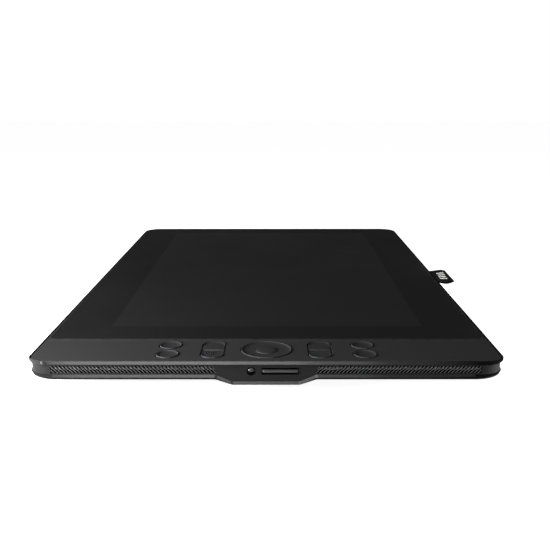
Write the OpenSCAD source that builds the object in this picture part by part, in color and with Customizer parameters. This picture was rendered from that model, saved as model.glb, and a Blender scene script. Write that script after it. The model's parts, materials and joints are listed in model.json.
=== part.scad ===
// Pen display tablet with a strip of keys along one short edge.
// Millimetres. X runs left to right, Y from the key edge to the far edge, Z is up.
// The origin lies on the desk under the middle of the body.

/* [Body] */
// Width of the body, left to right
body_w = 262; // [254:1:290]
// Depth of the body, key edge to far edge
body_d = 418; // [412:1:450]
// Height of the top face above the desk
body_top = 19; // [18.5:0.5:23]
// Corner radius of the top frame's outer wall
corner_r = 16; // [15:0.5:17]
// Corner radius of the bevel, which the outer wall cuts off at the corners
bezel_r = 11; // [9:0.5:12]
// Bevel along the top edge
bevel = 1.9; // [1:0.1:2.1]
// Height of the top frame's outer wall
bezel_h = 2.5; // [2.4:0.1:2.7]
// Thickness of the control strip
strip_t = 1.6; // [1.5:0.1:1.8]
// Depth of the control strip, from the key edge to the glass
strip_d = 39.4; // [38:0.1:44]
// Top frame visible beside the glass
rim_w = 2.2; // [2.2:0.1:3]

/* [Side wall] */
// Set-back of the dark side wall under the top frame
band_inset = 1.9; // [1.6:0.1:2.1]
// Corner radius of the dark side wall
band_r = 12.8; // [12:0.2:12.8]
// Height of the dark side wall
band_h = 5.5; // [5.3:0.1:6]
// Thickness of the dark side wall
band_wall = 2; // [1.8:0.1:2]
// Set-back of the lower lip
lip_inset = 0.4; // [0.2:0.1:0.8]
// Corner radius of the lower lip
lip_r = 18; // [16:0.5:19]
// Height of the lower lip
lip_h = 1.8; // [1.6:0.1:2.2]
// Half width of the dip in the lip, at its top
dip_half = 27.2; // [25.5:0.1:28]
// Half width of the flat floor of the dip
dip_floor_half = 18.3; // [17.6:0.1:20]
// Depth of the dip
dip = 3.9; // [3.5:0.1:4.2]

/* [Underside] */
// Height of the feet under the cover
foot_h = 1.4; // [1:0.1:1.8]
// Radius of a foot
foot_r = 8; // [6:0.5:10]
// Thickness of the bottom cover
cover_t = 1.4; // [1.2:0.1:1.6]
// Cover edge that shows under the lip
cover_edge_t = 0.7; // [0.6:0.1:0.9]
// Gap from the body's sides to the deep middle, at its floor
tub_gap_x = 31; // [28:1:34]
// Gap from the body's ends to the deep middle, at its floor
tub_gap_y = 35; // [33:1:38]
// Lean of the walls of the deep middle
tub_lean = 8; // [6:0.5:10]

/* [Keys] */
// Distance of the key row from the key edge
key_row = 21.1; // [20.6:0.1:22]
// Radius of a round key
key_r = 6.2; // [5.8:0.1:6.4]
// Distance between the two round keys of a pair
key_pitch = 15.6; // [15.4:0.1:16]
// Side offset of the round keys
round_x = 54.5; // [50:0.5:58]
// Side offset of the split keys
pill_x = 29.8; // [28:0.2:31]
// Width of a split key
pill_w = 12.2; // [11:0.2:13]
// Length of a pair of split keys
pill_l = 27.8; // [26:0.2:28]
// End radius of a pair of split keys
pill_r = 5.4; // [4:0.2:5.4]
// Radius of the touch ring
ring_r = 14.1; // [13.5:0.1:14.5]
// Radius of the button inside the touch ring
centre_r = 5.9; // [5.5:0.1:6.2]
// Travel of the keys
key_travel = 0.6; // [0.5:0.05:0.7]
// Gap around the keys
key_gap = 0.3; // [0.25:0.05:0.4]

/* [Side buttons and vents] */
// Height of the side buttons above the lip's top edge
button_up = 1.75; // [1.6:0.05:2]
// Place of the power button
power_x = -8; // [-10:0.5:-6]
// Radius of the power button
power_r = 1.95; // [1.8:0.05:2.2]
// Travel of the power button
power_travel = 0.5; // [0.4:0.05:0.55]
// Place of the volume rocker
rocker_x = 7.65; // [7:0.05:8]
// Length of the volume rocker
rocker_l = 19.4; // [17:0.2:19.6]
// Height of the volume rocker
rocker_h = 3.2; // [2.8:0.1:3.3]
// Gap between the top of the dip and a vent, less than 0 where the vent reaches over the dip
vent_start = -0.7; // [-0.8:0.1:2]
// Gap between a vent and the body's side
vent_margin = 14.9; // [14.9:0.1:20]
// Height of the vent slots
vent_h = 4.1; // [3.6:0.1:4.2]
// Sideways lean of the vent slats
vent_lean = 4.3; // [3:0.1:5]
// Distance between vent slats
vent_pitch = 2.03; // [1.9:0.01:2.6]
// Width of a vent slat
vent_slat = 0.92; // [0.8:0.02:1.1]

/* [Display] */
// Dark border left and right of the picture area
border_x = 33.2; // [30:0.1:40]
// Dark border before and behind the picture area
border_y = 25.1; // [22:0.1:34]
// Thickness of the cover glass
glass_t = 1.15; // [1:0.05:1.2]
// Thickness of the display panel
panel_t = 2.9; // [2.7:0.1:3]

/* [Tag] */
// Length of the tag outside the body
tag_out = 15.8; // [10:0.2:20]
// Width of the tag
tag_w = 34; // [20:1:40]
// Place of the tag's middle along the side
tag_y = 10; // [-20:1:20]
// Thickness of the two plies of the tag
tag_t = 1.4; // [1:0.1:1.6]

/* [Hidden] */
$fn = 64;
// Sides of long gentle curves
fine = 360;
// How far a cut runs past the face it opens
over = 1;
// How far two shapes of one piece run into each other
join = 0.1;
// Running gap of a pin in its bore
pin_fit = 0.05;
// Gap around a part that is bonded into a cut-out
set_fit = 0.05;
// Gap around loose cut-outs
loose_fit = 0.3;
// Gap around what passes through the chassis
pass_fit = 0.6;

// Heights from the top face down
z_top = body_top;
z_bezel_under = z_top - bezel_h;
z_strip_under = z_top - strip_t;
glass_drop = 0.1;
z_glass_top = z_top - glass_drop;
z_glass_under = z_glass_top - glass_t;
bond_t = 0.15;
z_bond_under = z_glass_under - bond_t;
z_panel_under = z_bond_under - panel_t;
pen_board_t = 0.6;
z_chassis_top = z_panel_under - pen_board_t;
chassis_t = 1.2;
z_chassis_under = z_chassis_top - chassis_t;
z_lip_top = z_bezel_under - band_h;
z_lip_under = z_lip_top - lip_h;
z_cover_under = z_lip_under - cover_edge_t;
z_cover_in = z_cover_under + cover_t;
z_floor = foot_h + cover_t;

// Glass, its seat and the display under it
glass_gap = 0.15;
glass_w = body_w - 2 * (rim_w + glass_gap);
glass_near_y = -body_d / 2 + strip_d;
glass_far_y = body_d / 2 - rim_w - glass_gap;
glass_d = glass_far_y - glass_near_y;
glass_y = (glass_far_y + glass_near_y) / 2;
glass_far_r = corner_r - rim_w - glass_gap;
glass_near_r = 4;
seat_w = 2.4;
strip_wall = 4.8;
gasket_w = 1.6;
gasket_gap = 0.2;
gasket_t = z_glass_under - z_strip_under;
active_w = glass_w - 2 * border_x;
active_d = glass_d - 2 * border_y;
bond_margin = 2;
panel_margin = 5;
pen_board_margin = 9;
sheet_r = 1.5;

// Front and far walls
band_front_y = -body_d / 2 + band_inset;
band_back_y = band_front_y + band_wall;
lip_front_y = -body_d / 2 + lip_inset;
frame_ring_w = 11.6;
frame_ring_inner = lip_inset + frame_ring_w;
dip_back_y = lip_front_y + frame_ring_w;
chassis_gap = 0.4;
chassis_inset = band_inset + band_wall + chassis_gap;
chassis_r = band_r - band_wall - chassis_gap;

// Screws. Along the sides the cover's screws sit midway between the chassis's
screw_r = 0.9;
screw_head_r = 1.9;
screw_head_h = 0.8;
screw_drive_r = 0.7;
screw_tip_gap = 0.3;
thread_skin = 0.3;
boss_r = 2.5;
screw_inset = 7.6;
screw_x = body_w / 2 - screw_inset;
screw_y = body_d / 2 - screw_inset;
side_screw_end = 58.5;
side_screw_pitch = (body_d - 2 * side_screw_end) / 3;
far_screw_x = body_w / 2 - 55;
near_screw_x = body_w / 2 - 23.6;
cover_screw_x = body_w / 2 - 73.4;
chassis_screw_spots = concat(
    [for (s = [-1, 1], i = [-1.5 : 1.5]) [s * screw_x, i * side_screw_pitch]],
    [for (s = [-1, 1]) [s * far_screw_x, screw_y]],
    [for (s = [-1, 1]) [s * near_screw_x, -screw_y]]
);
cover_screw_spots = concat(
    [for (s = [-1, 1], i = [-1 : 1]) [s * screw_x, i * side_screw_pitch]],
    [for (s = [-1, 1], e = [-1, 1]) [s * cover_screw_x, e * screw_y]]
);

// Deep middle of the cover
cover_step = 0.4;
cover_dip_step = 2.4;
tub_w = body_w - 2 * tub_gap_x;
tub_d = body_d - 2 * tub_gap_y;
tub_r = 12;
tub_wall = 1.6;
tub_slope = tub_lean / (z_cover_under - foot_h);
tub_in = tub_slope * cover_t - tub_wall;
foot_recess = 0.6;
foot_margin_x = 16;
foot_margin_y = 22;
foot_x = tub_w / 2 - foot_margin_x;
foot_y = tub_d / 2 - foot_margin_y;
foot_spots = concat([[0, 0]], [for (sx = [-1, 1], sy = [-1, 1]) [sx * foot_x, sy * foot_y]]);

// Side buttons
button_z = z_lip_top + button_up;
button_gap = 0.35;
button_flange = 0.65;
button_flange_t = 0.6;
power_proud = 0.5;
power_crown = 0.7;
power_post_r = 1;
switch_rest_gap = 0.05;
switch_w = 3;
switch_h = 2.6;
switch_t = 1;
switch_face_y = band_back_y + 1.7;
switch_reach = 7;
switch_board_t = 0.8;
switch_board_y = switch_face_y + switch_t;
switch_board_gap = 0.6;
switch_board_up = 1;
rocker_proud = 1.2;
rocker_face = 0.1;
rocker_rear = 0.4;
rocker_nose = 0.6;
rocker_point = 2;
rocker_pivot_y = band_back_y + 0.8;
rocker_pin_r = 0.6;
rocker_ear_t = 0.9;
rocker_ear_w = 4;
rocker_ear_root = 0.5;
rocker_ear_end = 0.9;
rocker_low = button_z - rocker_h / 2 - button_gap;
rocker_high = button_z + rocker_h / 2 + button_gap;
status_x = -21.5;
status_up = 1;
status_r = 0.5;
status_tail = 0.4;

// Keys
key_y = -body_d / 2 + key_row;
key_flange_t = 0.8;
key_flange = 0.8;
key_dish = 0.7;
key_rim = 0.5;
key_board_t = 0.8;
key_mat_t = 0.3;
dome_h = 0.4;
dome_r = 2.6;
plunger_r = 1.5;
pill_split = 0.4;
ridge_pitch = 1.3;
ridge_w = 0.5;
ridge_l = 4.8;
ridge_shift = 0.5;
ridge_up = 0.35;
ridge_root = 0.3;
z_key_board_top = z_chassis_top + key_board_t;
z_key_mat_top = z_key_board_top + key_mat_t;
z_dome_top = z_key_mat_top + dome_h;
z_flange_under = z_strip_under - key_flange_t;
z_plunger = z_dome_top + key_travel;
ring_sensor_t = 0.8;
z_sensor_top = z_key_mat_top + ring_sensor_t;
ring_inner_r = centre_r + key_gap;
ring_foot = 1.2;
ring_edge_drop = 0.15;
ring_dish = 0.7;
ring_dish_r = ball_r((ring_r - ring_inner_r) / 2 - key_rim, ring_dish);
centre_drop = 0.1;
centre_crown = 0.9;
chassis_notch_y = switch_board_y + switch_board_t + pass_fit;
key_board_end = 5;
key_board_edge = 0.4;
key_board_back = 1.4;
key_board_w = 2 * (round_x + key_r + key_board_end);
key_board_near_y = chassis_notch_y + key_board_edge;
key_board_far_y = glass_near_y - key_board_back;

// Vents
vent_z = (z_lip_top + z_bezel_under) / 2;
vent_frame = 0.25;
vent_depth = 1.4;
vent_recess = 0.2;
vent_x0 = dip_half + vent_start;
vent_x1 = body_w / 2 - vent_margin;
vent_count = ceil((vent_x1 - vent_x0 + vent_lean) / vent_pitch);

// Sockets in the far wall
socket_x = 16;
socket_w = 8.94;
socket_h = 3.2;
socket_wall = 0.3;
socket_l = 7.35;
socket_back_t = 0.8;
socket_mouth = 0.3;
tongue_w = 6.7;
tongue_t = 0.7;
tongue_set_back = 1;
socket_board_t = 1;
socket_board_end = 11.5;
socket_board_d = 14.4;
socket_board_w = 2 * (socket_x + socket_w / 2 + socket_board_end);
socket_front_y = body_d / 2 - band_inset - socket_mouth;
socket_board_y = body_d / 2 - chassis_inset - socket_board_d;
socket_z = z_lip_top + socket_board_t + socket_h / 2;

// Stack of pipe, plate, chip and main board, from the floor up
pipe_lift = 0.4;
pipe_h = 2.2;
heat_plate_t = 1;
chip_t = 2;
board_t = 1.2;
z_pipe_under = z_floor + pipe_lift;
z_pipe_top = z_pipe_under + pipe_h;
z_chip_under = z_pipe_top + heat_plate_t;
z_board_under = z_chip_under + chip_t;
z_board_top = z_board_under + board_t;

// Across the deep middle: board neck, a fan on each side, then the wall
bay_clear = 7;
chip_w = 32;
chip_d = 24;
heat_plate_margin = 2;
heat_plate_w = chip_w + 2 * heat_plate_margin;
heat_plate_d = chip_d + 2 * heat_plate_margin;
standoff_gap = 1.5;
neck_edge = 2.5;
neck_standoff_x = heat_plate_w / 2 + standoff_gap + boss_r;
board_neck_w = 2 * (neck_standoff_x + boss_r + neck_edge);
fan_gap = 4;
fan_w = tub_w / 2 - bay_clear - board_neck_w / 2 - fan_gap;
fan_x = board_neck_w / 2 + fan_gap + fan_w / 2;
board_wide_w = tub_w - 2 * bay_clear;
battery_w = board_wide_w;
fin_end = 3;
fin_l = fan_w - 2 * fin_end;
pipe_end = 5;
pipe_l = 2 * (fan_x + fin_l / 2 + pipe_end);

// Along the deep middle: pipe and fins, fans, board, then the battery
board_clear = 2;
board_front_y = -tub_d / 2 + board_clear;
chip_edge = 3.5;
pipe_y = board_front_y + chip_edge + chip_d / 2;
fin_d = 12;
fin_gap = 3.5;
fan_y = pipe_y + fin_d / 2 + fin_gap + fan_w / 2;
board_step_gap = 5;
board_step_y = fan_y + fan_w / 2 + board_step_gap;
board_wide_d = 90;
board_back_y = board_step_y + board_wide_d;
battery_gap = 15;
battery_clear = 11;
battery_near_y = board_back_y + battery_gap;
battery_far_y = tub_d / 2 - battery_clear;
battery_h = 6;
battery_r = 3;
standoff_edge = 9;
standoff_spots = [for (s = [-1, 1], p = [
    [neck_standoff_x, board_front_y + standoff_edge],
    [neck_standoff_x, board_step_y - standoff_edge],
    [board_wide_w / 2 - standoff_edge, board_step_y + standoff_edge],
    [board_wide_w / 2 - standoff_edge, board_back_y - standoff_edge]
]) [s * p[0], p[1]]];

// Fans and fins
fan_wall = 1;
fan_h = 7.4;
fan_corner_r = 6;
z_fan_top = z_floor + fan_h;
rotor_tip_gap = 6;
rotor_gap = 0.6;
rotor_r = fan_w / 2 - fan_wall - rotor_tip_gap;
fan_inlet_edge = 7;
fan_inlet_r = rotor_r - fan_inlet_edge;
hub_r = 9;
fan_pin_r = 1.5;
blade_count = 15;
blade_t = 0.8;
intake_edge = 2;
intake_l = 2 * (fan_inlet_r - intake_edge);
intake_w = 1.6;
intake_pitch = 3.6;
intake_steps = floor((fan_inlet_r - intake_edge) / intake_pitch);
pipe_w = 8;
fin_base_t = 0.6;
fin_h = 4;
fin_t = 0.5;
fin_pitch = 2.4;

// Flat cables
ribbon_t = 0.3;
ribbon_land = 10;
ribbon_lift = 0.2;
panel_ribbon_w = 24;
panel_ribbon_gap = 1.4;
panel_ribbon_x = active_w / 2 + pen_board_margin + panel_ribbon_gap;
panel_ribbon_back = 26;
panel_ribbon_y1 = board_back_y - panel_ribbon_back;
panel_ribbon_y0 = panel_ribbon_y1 - panel_ribbon_w;
key_ribbon_w = 12;
key_ribbon_gap = 2.8;
key_ribbon_y = key_board_far_y + key_ribbon_gap;
socket_ribbon_w = 16;
socket_ribbon_gap = 3.7;
socket_ribbon_y = board_back_y + socket_ribbon_gap;

// Tag
tag_ply_gap = 0.2;
tag_drop = 0.1;
tag_slot_fit = 0.2;
tag_z = z_chassis_top - tag_drop;
tag_nose_x = body_w / 2 + tag_out - tag_t / 2;
anchor_w = 3.6;
anchor_back = 0.8;
anchor_wall = 2;
anchor_x = body_w / 2 - chassis_inset - anchor_w;

// Radius of a ball that hollows or crowns a top by h over radius r
function ball_r(r, h) = (r * r + h * h) / (2 * h);

// Flat shapes
module rounded_rect(w, d, r) {
    square([w - 2 * r, d], center = true);
    square([w, d - 2 * r], center = true);
    for (sx = [-1, 1], sy = [-1, 1])
        translate([sx * (w / 2 - r), sy * (d / 2 - r)]) circle(r);
}

module slot_shape(l, h) {
    square([l - h, h], center = true);
    for (s = [-1, 1]) translate([s * (l - h) / 2, 0]) circle(h / 2);
}

// A flat cable whose lower left edge runs through square-cornered points
module ribbon_shape(points) for (i = [1 : len(points) - 1]) {
    a = points[i - 1];
    b = points[i];
    translate([min(a[0], b[0]), min(a[1], b[1])])
        square([abs(b[0] - a[0]) + ribbon_t, abs(b[1] - a[1]) + ribbon_t]);
}

// Solids from flat shapes
module plate(w, d, r, z0, z1) translate([0, 0, z0]) linear_extrude(z1 - z0) rounded_rect(w, d, r);

module outline_plate(inset, r, z0, z1) plate(body_w - 2 * inset, body_d - 2 * inset, r, z0, z1);

module outline_ring(inset, r, wall, z0, z1) difference() {
    outline_plate(inset, r, z0, z1);
    outline_plate(inset + wall, r - wall, z0 - over, z1 + over);
}

module box(x0, x1, y0, y1, z0, z1) translate([x0, y0, z0]) cube([x1 - x0, y1 - y0, z1 - z0]);

// A box through the chassis
module chassis_cut(x0, x1, y0, y1) box(x0, x1, y0, y1, z_chassis_under - over, z_chassis_top + over);

module disc(r, z0, z1) translate([0, 0, z0]) cylinder(r = r, h = z1 - z0);

// Copies of a shape at a list of spots
module at_spots(spots) for (p = spots) translate([p[0], p[1], 0]) children();

// A flat shape drawn in X and Z, run along Y
module along_y(y0, y1) translate([0, y1, 0]) rotate([90, 0, 0]) linear_extrude(y1 - y0) children();

// A flat shape drawn in Y and Z, run along X
module along_x(x0, x1) translate([x0, 0, 0]) rotate([90, 0, 90]) linear_extrude(x1 - x0) children();

// A round bar from front to back
module rod_y(x, z, r, y0, y1) translate([x, y0, z]) rotate([-90, 0, 0]) cylinder(r = r, h = y1 - y0);

// Rounded slab whose walls lean inward by lean from z0 to z1
module leaning_slab(w, d, r, z0, z1, lean) {
    along_y(-d / 2 + r, d / 2 - r)
        polygon([[-w / 2, z0], [w / 2, z0], [w / 2 - lean, z1], [-w / 2 + lean, z1]]);
    along_x(-w / 2 + r, w / 2 - r)
        polygon([[-d / 2, z0], [d / 2, z0], [d / 2 - lean, z1], [-d / 2 + lean, z1]]);
    for (sx = [-1, 1], sy = [-1, 1])
        translate([sx * (w / 2 - r), sy * (d / 2 - r), z0]) cylinder(r1 = r, r2 = r - lean, h = z1 - z0);
}

// Strip that follows the dip in the lip, drawn in X and Z
module dipped_strip(z0, z1) polygon([
    [-dip_half, z0], [-dip_floor_half, z0 - dip], [dip_floor_half, z0 - dip], [dip_half, z0],
    [dip_half, z1], [dip_floor_half, z1 - dip], [-dip_floor_half, z1 - dip], [-dip_half, z1]
]);

// Room inside the dip up to a level, drawn in X and Z
module dip_room(z, top) polygon([
    [-dip_half, top], [-dip_half, z], [-dip_floor_half, z - dip],
    [dip_floor_half, z - dip], [dip_half, z], [dip_half, top]
]);

// Outline of the glass, grown by a margin
module glass_outline(grow) {
    translate([0, glass_y]) rounded_rect(glass_w + 2 * grow, glass_d + 2 * grow, glass_far_r + grow);
    translate([0, glass_near_y + glass_d / 4])
        rounded_rect(glass_w + 2 * grow, glass_d / 2 + 2 * grow, glass_near_r + grow);
}

// A sheet under the glass, larger than the picture area by a margin
module display_sheet(margin, z0, z1) translate([0, glass_y, 0])
    plate(active_w + 2 * margin, active_d + 2 * margin, sheet_r, z0, z1);

// Outline of a pair of split keys, or one half of it
module pill_shape(grow) rounded_rect(pill_w + 2 * grow, pill_l + 2 * grow, pill_r + grow);

module half_pill_shape(grow, side) intersection() {
    pill_shape(grow);
    translate([0, side * (pill_l + pill_split) / 2]) square([2 * pill_l, pill_l], center = true);
}

// Top frame, glass and display
module top_bezel() color([0.13, 0.13, 0.14]) difference() {
    intersection() {
        union() {
            outline_plate(0, bezel_r, z_bezel_under, z_top - bevel);
            leaning_slab(body_w, body_d, bezel_r, z_top - bevel, z_top, bevel);
        }
        outline_plate(0, corner_r, z_bezel_under - over, z_top + over);
    }
    translate([0, 0, z_strip_under]) linear_extrude(strip_t + over) glass_outline(glass_gap);
    translate([0, glass_y, 0])
        plate(glass_w - 2 * seat_w, glass_d - 2 * seat_w, glass_far_r, z_bezel_under - over, z_top);
    translate([0, (-body_d / 2 + strip_wall + glass_near_y - seat_w) / 2, 0])
        plate(body_w - 2 * strip_wall, strip_d - strip_wall - seat_w, bezel_r,
            z_bezel_under - over, z_strip_under);
    for (s = [-1, 1]) {
        for (e = [-1, 1])
            translate([s * round_x, key_y + e * key_pitch / 2, 0])
                disc(key_r + key_gap, z_bezel_under, z_top + over);
        translate([s * pill_x, key_y, z_bezel_under])
            linear_extrude(bezel_h + over) pill_shape(key_gap);
    }
    translate([0, key_y, 0]) disc(ring_r + set_fit, z_bezel_under, z_top + over);
}

module cover_glass() color([0.05, 0.05, 0.06])
    translate([0, 0, z_glass_under]) linear_extrude(glass_t) glass_outline(0);

module glass_gasket() color([0.03, 0.03, 0.03])
    translate([0, glass_y, z_strip_under]) linear_extrude(gasket_t) difference() {
        w = glass_w - 2 * gasket_gap;
        d = glass_d - 2 * gasket_gap;
        rounded_rect(w, d, glass_far_r);
        rounded_rect(w - 2 * gasket_w, d - 2 * gasket_w, glass_far_r - gasket_w);
    }

module optical_bond() color([0.2, 0.2, 0.22]) display_sheet(bond_margin, z_bond_under, z_glass_under);

module display_panel() color([0.08, 0.08, 0.1]) display_sheet(panel_margin, z_panel_under, z_bond_under);

module pen_board() color([0.1, 0.3, 0.15]) display_sheet(pen_board_margin, z_chassis_top, z_panel_under);

// Plate that carries the display above and the boards below
module chassis() color([0.45, 0.45, 0.47]) difference() {
    union() {
        outline_plate(chassis_inset, chassis_r, z_chassis_under, z_chassis_top);
        at_spots(standoff_spots) disc(boss_r, z_board_top, z_chassis_top);
    }
    at_spots(chassis_screw_spots) disc(screw_r + loose_fit, z_chassis_under - over, z_chassis_top + over);
    at_spots(standoff_spots) disc(screw_r + pin_fit, z_board_top - over, z_chassis_under);
    chassis_cut(-dip_half, dip_half, -body_d / 2, chassis_notch_y);
    for (s = [-1, 1]) translate([s * socket_x, 0, 0])
        chassis_cut(-socket_w / 2 - pass_fit, socket_w / 2 + pass_fit,
            socket_front_y - socket_l - pass_fit, body_d / 2);
    chassis_cut(panel_ribbon_x - pass_fit, panel_ribbon_x + ribbon_t + pass_fit,
        panel_ribbon_y0 - pass_fit, panel_ribbon_y1 + pass_fit);
    chassis_cut(-key_ribbon_w / 2 - pass_fit, key_ribbon_w / 2 + pass_fit,
        key_ribbon_y - pass_fit, key_ribbon_y + ribbon_t + pass_fit);
    translate([0, tag_y, 0]) {
        reach = tag_w / 2 + anchor_wall + pass_fit;
        chassis_cut(anchor_x - pass_fit, body_w / 2, -reach, reach);
    }
}

// Dark side wall with the openings for vents, buttons, sockets and tag
module side_band() color([0.09, 0.09, 0.1]) difference() {
    union() {
        outline_ring(band_inset, band_r, band_wall, z_lip_top, z_bezel_under);
        along_y(band_front_y, band_back_y) dip_room(z_lip_top, z_lip_top + over);
        for (z = [rocker_low - rocker_ear_t, rocker_high])
            box(rocker_x - rocker_ear_w / 2, rocker_x + rocker_ear_w / 2,
                band_back_y - rocker_ear_root, rocker_pivot_y + rocker_ear_end, z, z + rocker_ear_t);
    }
    for (s = [0, 1]) mirror([s, 0, 0])
        along_y(band_front_y - over, band_back_y + over) vent_shape(vent_frame + set_fit);
    rod_y(power_x, button_z, power_r + button_gap, band_front_y - over, band_back_y + over);
    along_y(band_front_y - over, band_back_y + over) translate([rocker_x, button_z])
        square([rocker_l + 2 * button_gap, rocker_h + 2 * button_gap], center = true);
    translate([rocker_x, rocker_pivot_y, 0])
        disc(rocker_pin_r + pin_fit, rocker_low - rocker_ear_t - over, rocker_high + rocker_ear_t + over);
    rod_y(status_x, button_z + status_up, status_r + set_fit, band_front_y - over, band_back_y + over);
    for (s = [-1, 1])
        along_y(body_d / 2 - band_inset - band_wall - over, body_d / 2) translate([s * socket_x, socket_z])
            slot_shape(socket_w + 2 * loose_fit, socket_h + 2 * loose_fit);
    box(body_w / 2 - band_inset - band_wall - over, body_w / 2,
        tag_y - tag_w / 2 - tag_slot_fit, tag_y + tag_w / 2 + tag_slot_fit,
        tag_z - tag_t / 2 - set_fit, tag_z + tag_t / 2 + set_fit);
}

// Opening of the right-hand vent, drawn in X and Z
module vent_shape(grow) polygon([
    [vent_x0 - grow, vent_z - vent_h / 2 - grow],
    [vent_x1 + grow, vent_z - vent_h / 2 - grow],
    [vent_x1 + grow, vent_z + vent_h / 2 + grow],
    [vent_x0 + vent_lean / 2 - grow, vent_z + vent_h / 2 + grow]
]);

module vent_slats() for (i = [0 : vent_count - 1]) {
    x = vent_x0 - vent_lean / 2 + i * vent_pitch;
    reach = vent_h / 2 + vent_frame;
    polygon([
        [x, vent_z - reach], [x + vent_slat, vent_z - reach],
        [x + vent_slat + vent_lean, vent_z + reach], [x + vent_lean, vent_z + reach]
    ]);
}

module vent() color([0.2, 0.2, 0.21])
    along_y(band_front_y + vent_recess, band_front_y + vent_recess + vent_depth) {
        difference() {
            vent_shape(vent_frame);
            vent_shape(0);
        }
        intersection() {
            vent_shape(vent_frame / 2);
            vent_slats();
        }
    }

module vent_right() vent();

module vent_left() mirror([1, 0, 0]) vent();

// Frame with the light lip, and the cover under it
module lower_frame() color([0.3, 0.3, 0.31]) difference() {
    union() {
        difference() {
            outline_ring(lip_inset, lip_r, frame_ring_w, z_lip_under, z_lip_top);
            box(-dip_half, dip_half, -body_d / 2 - over, dip_back_y + over,
                z_lip_under - over, z_lip_top + over);
        }
        along_y(lip_front_y, dip_back_y) dipped_strip(z_lip_under, z_lip_top);
        at_spots(chassis_screw_spots) disc(boss_r, z_lip_under, z_chassis_under);
    }
    at_spots(chassis_screw_spots) disc(screw_r + pin_fit, z_lip_under + thread_skin, z_chassis_under + over);
    at_spots(cover_screw_spots) disc(screw_r + pin_fit, z_lip_under - over, z_lip_top - thread_skin);
}

module bottom_cover() color([0.07, 0.07, 0.075]) difference() {
    union() {
        difference() {
            union() {
                outline_plate(lip_inset + cover_step, lip_r - cover_step, z_cover_under, z_lip_under);
                outline_plate(frame_ring_inner + loose_fit, lip_r - frame_ring_w - loose_fit,
                    z_cover_under, z_cover_in);
            }
            box(-dip_half, dip_half, -body_d / 2 - over, -tub_d / 2,
                z_cover_under - over, z_cover_in + over);
        }
        leaning_slab(tub_w, tub_d, tub_r, foot_h, z_cover_under, -tub_lean);
        along_y(lip_front_y + cover_dip_step, -tub_d / 2) dipped_strip(z_cover_under, z_lip_under);
        along_y(dip_back_y + loose_fit, -tub_d / 2) dipped_strip(z_cover_under, z_cover_in);
    }
    leaning_slab(tub_w + 2 * tub_in, tub_d + 2 * tub_in, tub_r + tub_in,
        z_floor, z_cover_in + over, -tub_slope * (z_cover_in + over - z_floor));
    along_y(dip_back_y + loose_fit - over, -tub_d / 2 + tub_lean) dip_room(z_cover_in, z_cover_in + over);
    at_spots(foot_spots) disc(foot_r + loose_fit, foot_h - over, foot_h + foot_recess);
    for (s = [-1, 1], i = [-intake_steps : intake_steps])
        translate([s * fan_x, fan_y + intake_pitch * i, foot_h - over])
            linear_extrude(cover_t + 2 * over) slot_shape(intake_l, intake_w);
    at_spots(cover_screw_spots) disc(screw_r + loose_fit, z_cover_under - over, z_lip_under + over);
}

// Touch ring and keys
module touch_ring() color([0.1, 0.1, 0.11]) translate([0, key_y, 0]) rotate_extrude() difference() {
    rim_z = z_top - ring_edge_drop;
    foot_r0 = ring_inner_r + ring_foot;
    union() {
        translate([ring_inner_r, z_flange_under]) square([ring_r - ring_inner_r, rim_z - z_flange_under]);
        translate([foot_r0, z_sensor_top])
            square([ring_r + key_flange - foot_r0, z_strip_under - z_sensor_top]);
    }
    translate([(ring_inner_r + ring_r) / 2, rim_z - ring_dish + ring_dish_r]) circle(ring_dish_r);
    translate([0, z_sensor_top - over]) square([foot_r0, z_strip_under - z_sensor_top + over]);
}

module ring_sensor() color([0.1, 0.3, 0.15]) translate([0, key_y, 0]) difference() {
    disc(ring_r + key_flange, z_key_mat_top, z_sensor_top);
    disc(ring_inner_r + ring_foot + key_flange, z_key_mat_top - over, z_sensor_top + over);
}

// Post under a key that presses the dome of the mat
module plunger() disc(plunger_r, z_plunger, z_flange_under + join);

module centre_button() color([0.11, 0.11, 0.12]) translate([0, key_y, 0]) {
    top = z_top - centre_drop;
    crown_r = ball_r(centre_r, centre_crown);
    intersection() {
        disc(centre_r, z_flange_under, top);
        translate([0, 0, top - crown_r]) sphere(crown_r);
    }
    disc(centre_r + key_flange, z_flange_under, z_strip_under);
    plunger();
}

module round_key(side, end) color([0.11, 0.11, 0.12])
    translate([side * round_x, key_y + end * key_pitch / 2, 0]) {
        dish_r = ball_r(key_r - key_rim, key_dish);
        difference() {
            disc(key_r, z_flange_under, z_top);
            translate([0, 0, z_top - key_dish + dish_r]) sphere(dish_r);
        }
        disc(key_r + key_flange, z_flange_under, z_strip_under);
        plunger();
    }

module split_key(side, end) color([0.11, 0.11, 0.12]) translate([side * pill_x, key_y, 0]) {
    dish_r = ball_r(pill_l / 2 - key_rim, key_dish);
    difference() {
        translate([0, 0, z_flange_under]) linear_extrude(z_top - z_flange_under) half_pill_shape(0, end);
        translate([-pill_w, 0, z_top - key_dish + dish_r])
            rotate([0, 90, 0]) cylinder(r = dish_r, h = 2 * pill_w, $fn = fine);
    }
    translate([0, 0, z_flange_under]) linear_extrude(key_flange_t) half_pill_shape(key_flange, end);
    translate([0, end * pill_l / 4, 0]) plunger();
}

module key_round_left_far() round_key(-1, 1);
module key_round_left_near() round_key(-1, -1);
module key_round_right_far() round_key(1, 1);
module key_round_right_near() round_key(1, -1);
module key_split_left_far() split_key(-1, 1);
module key_split_right_far() split_key(1, 1);
module key_split_right_near() split_key(1, -1);

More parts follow.
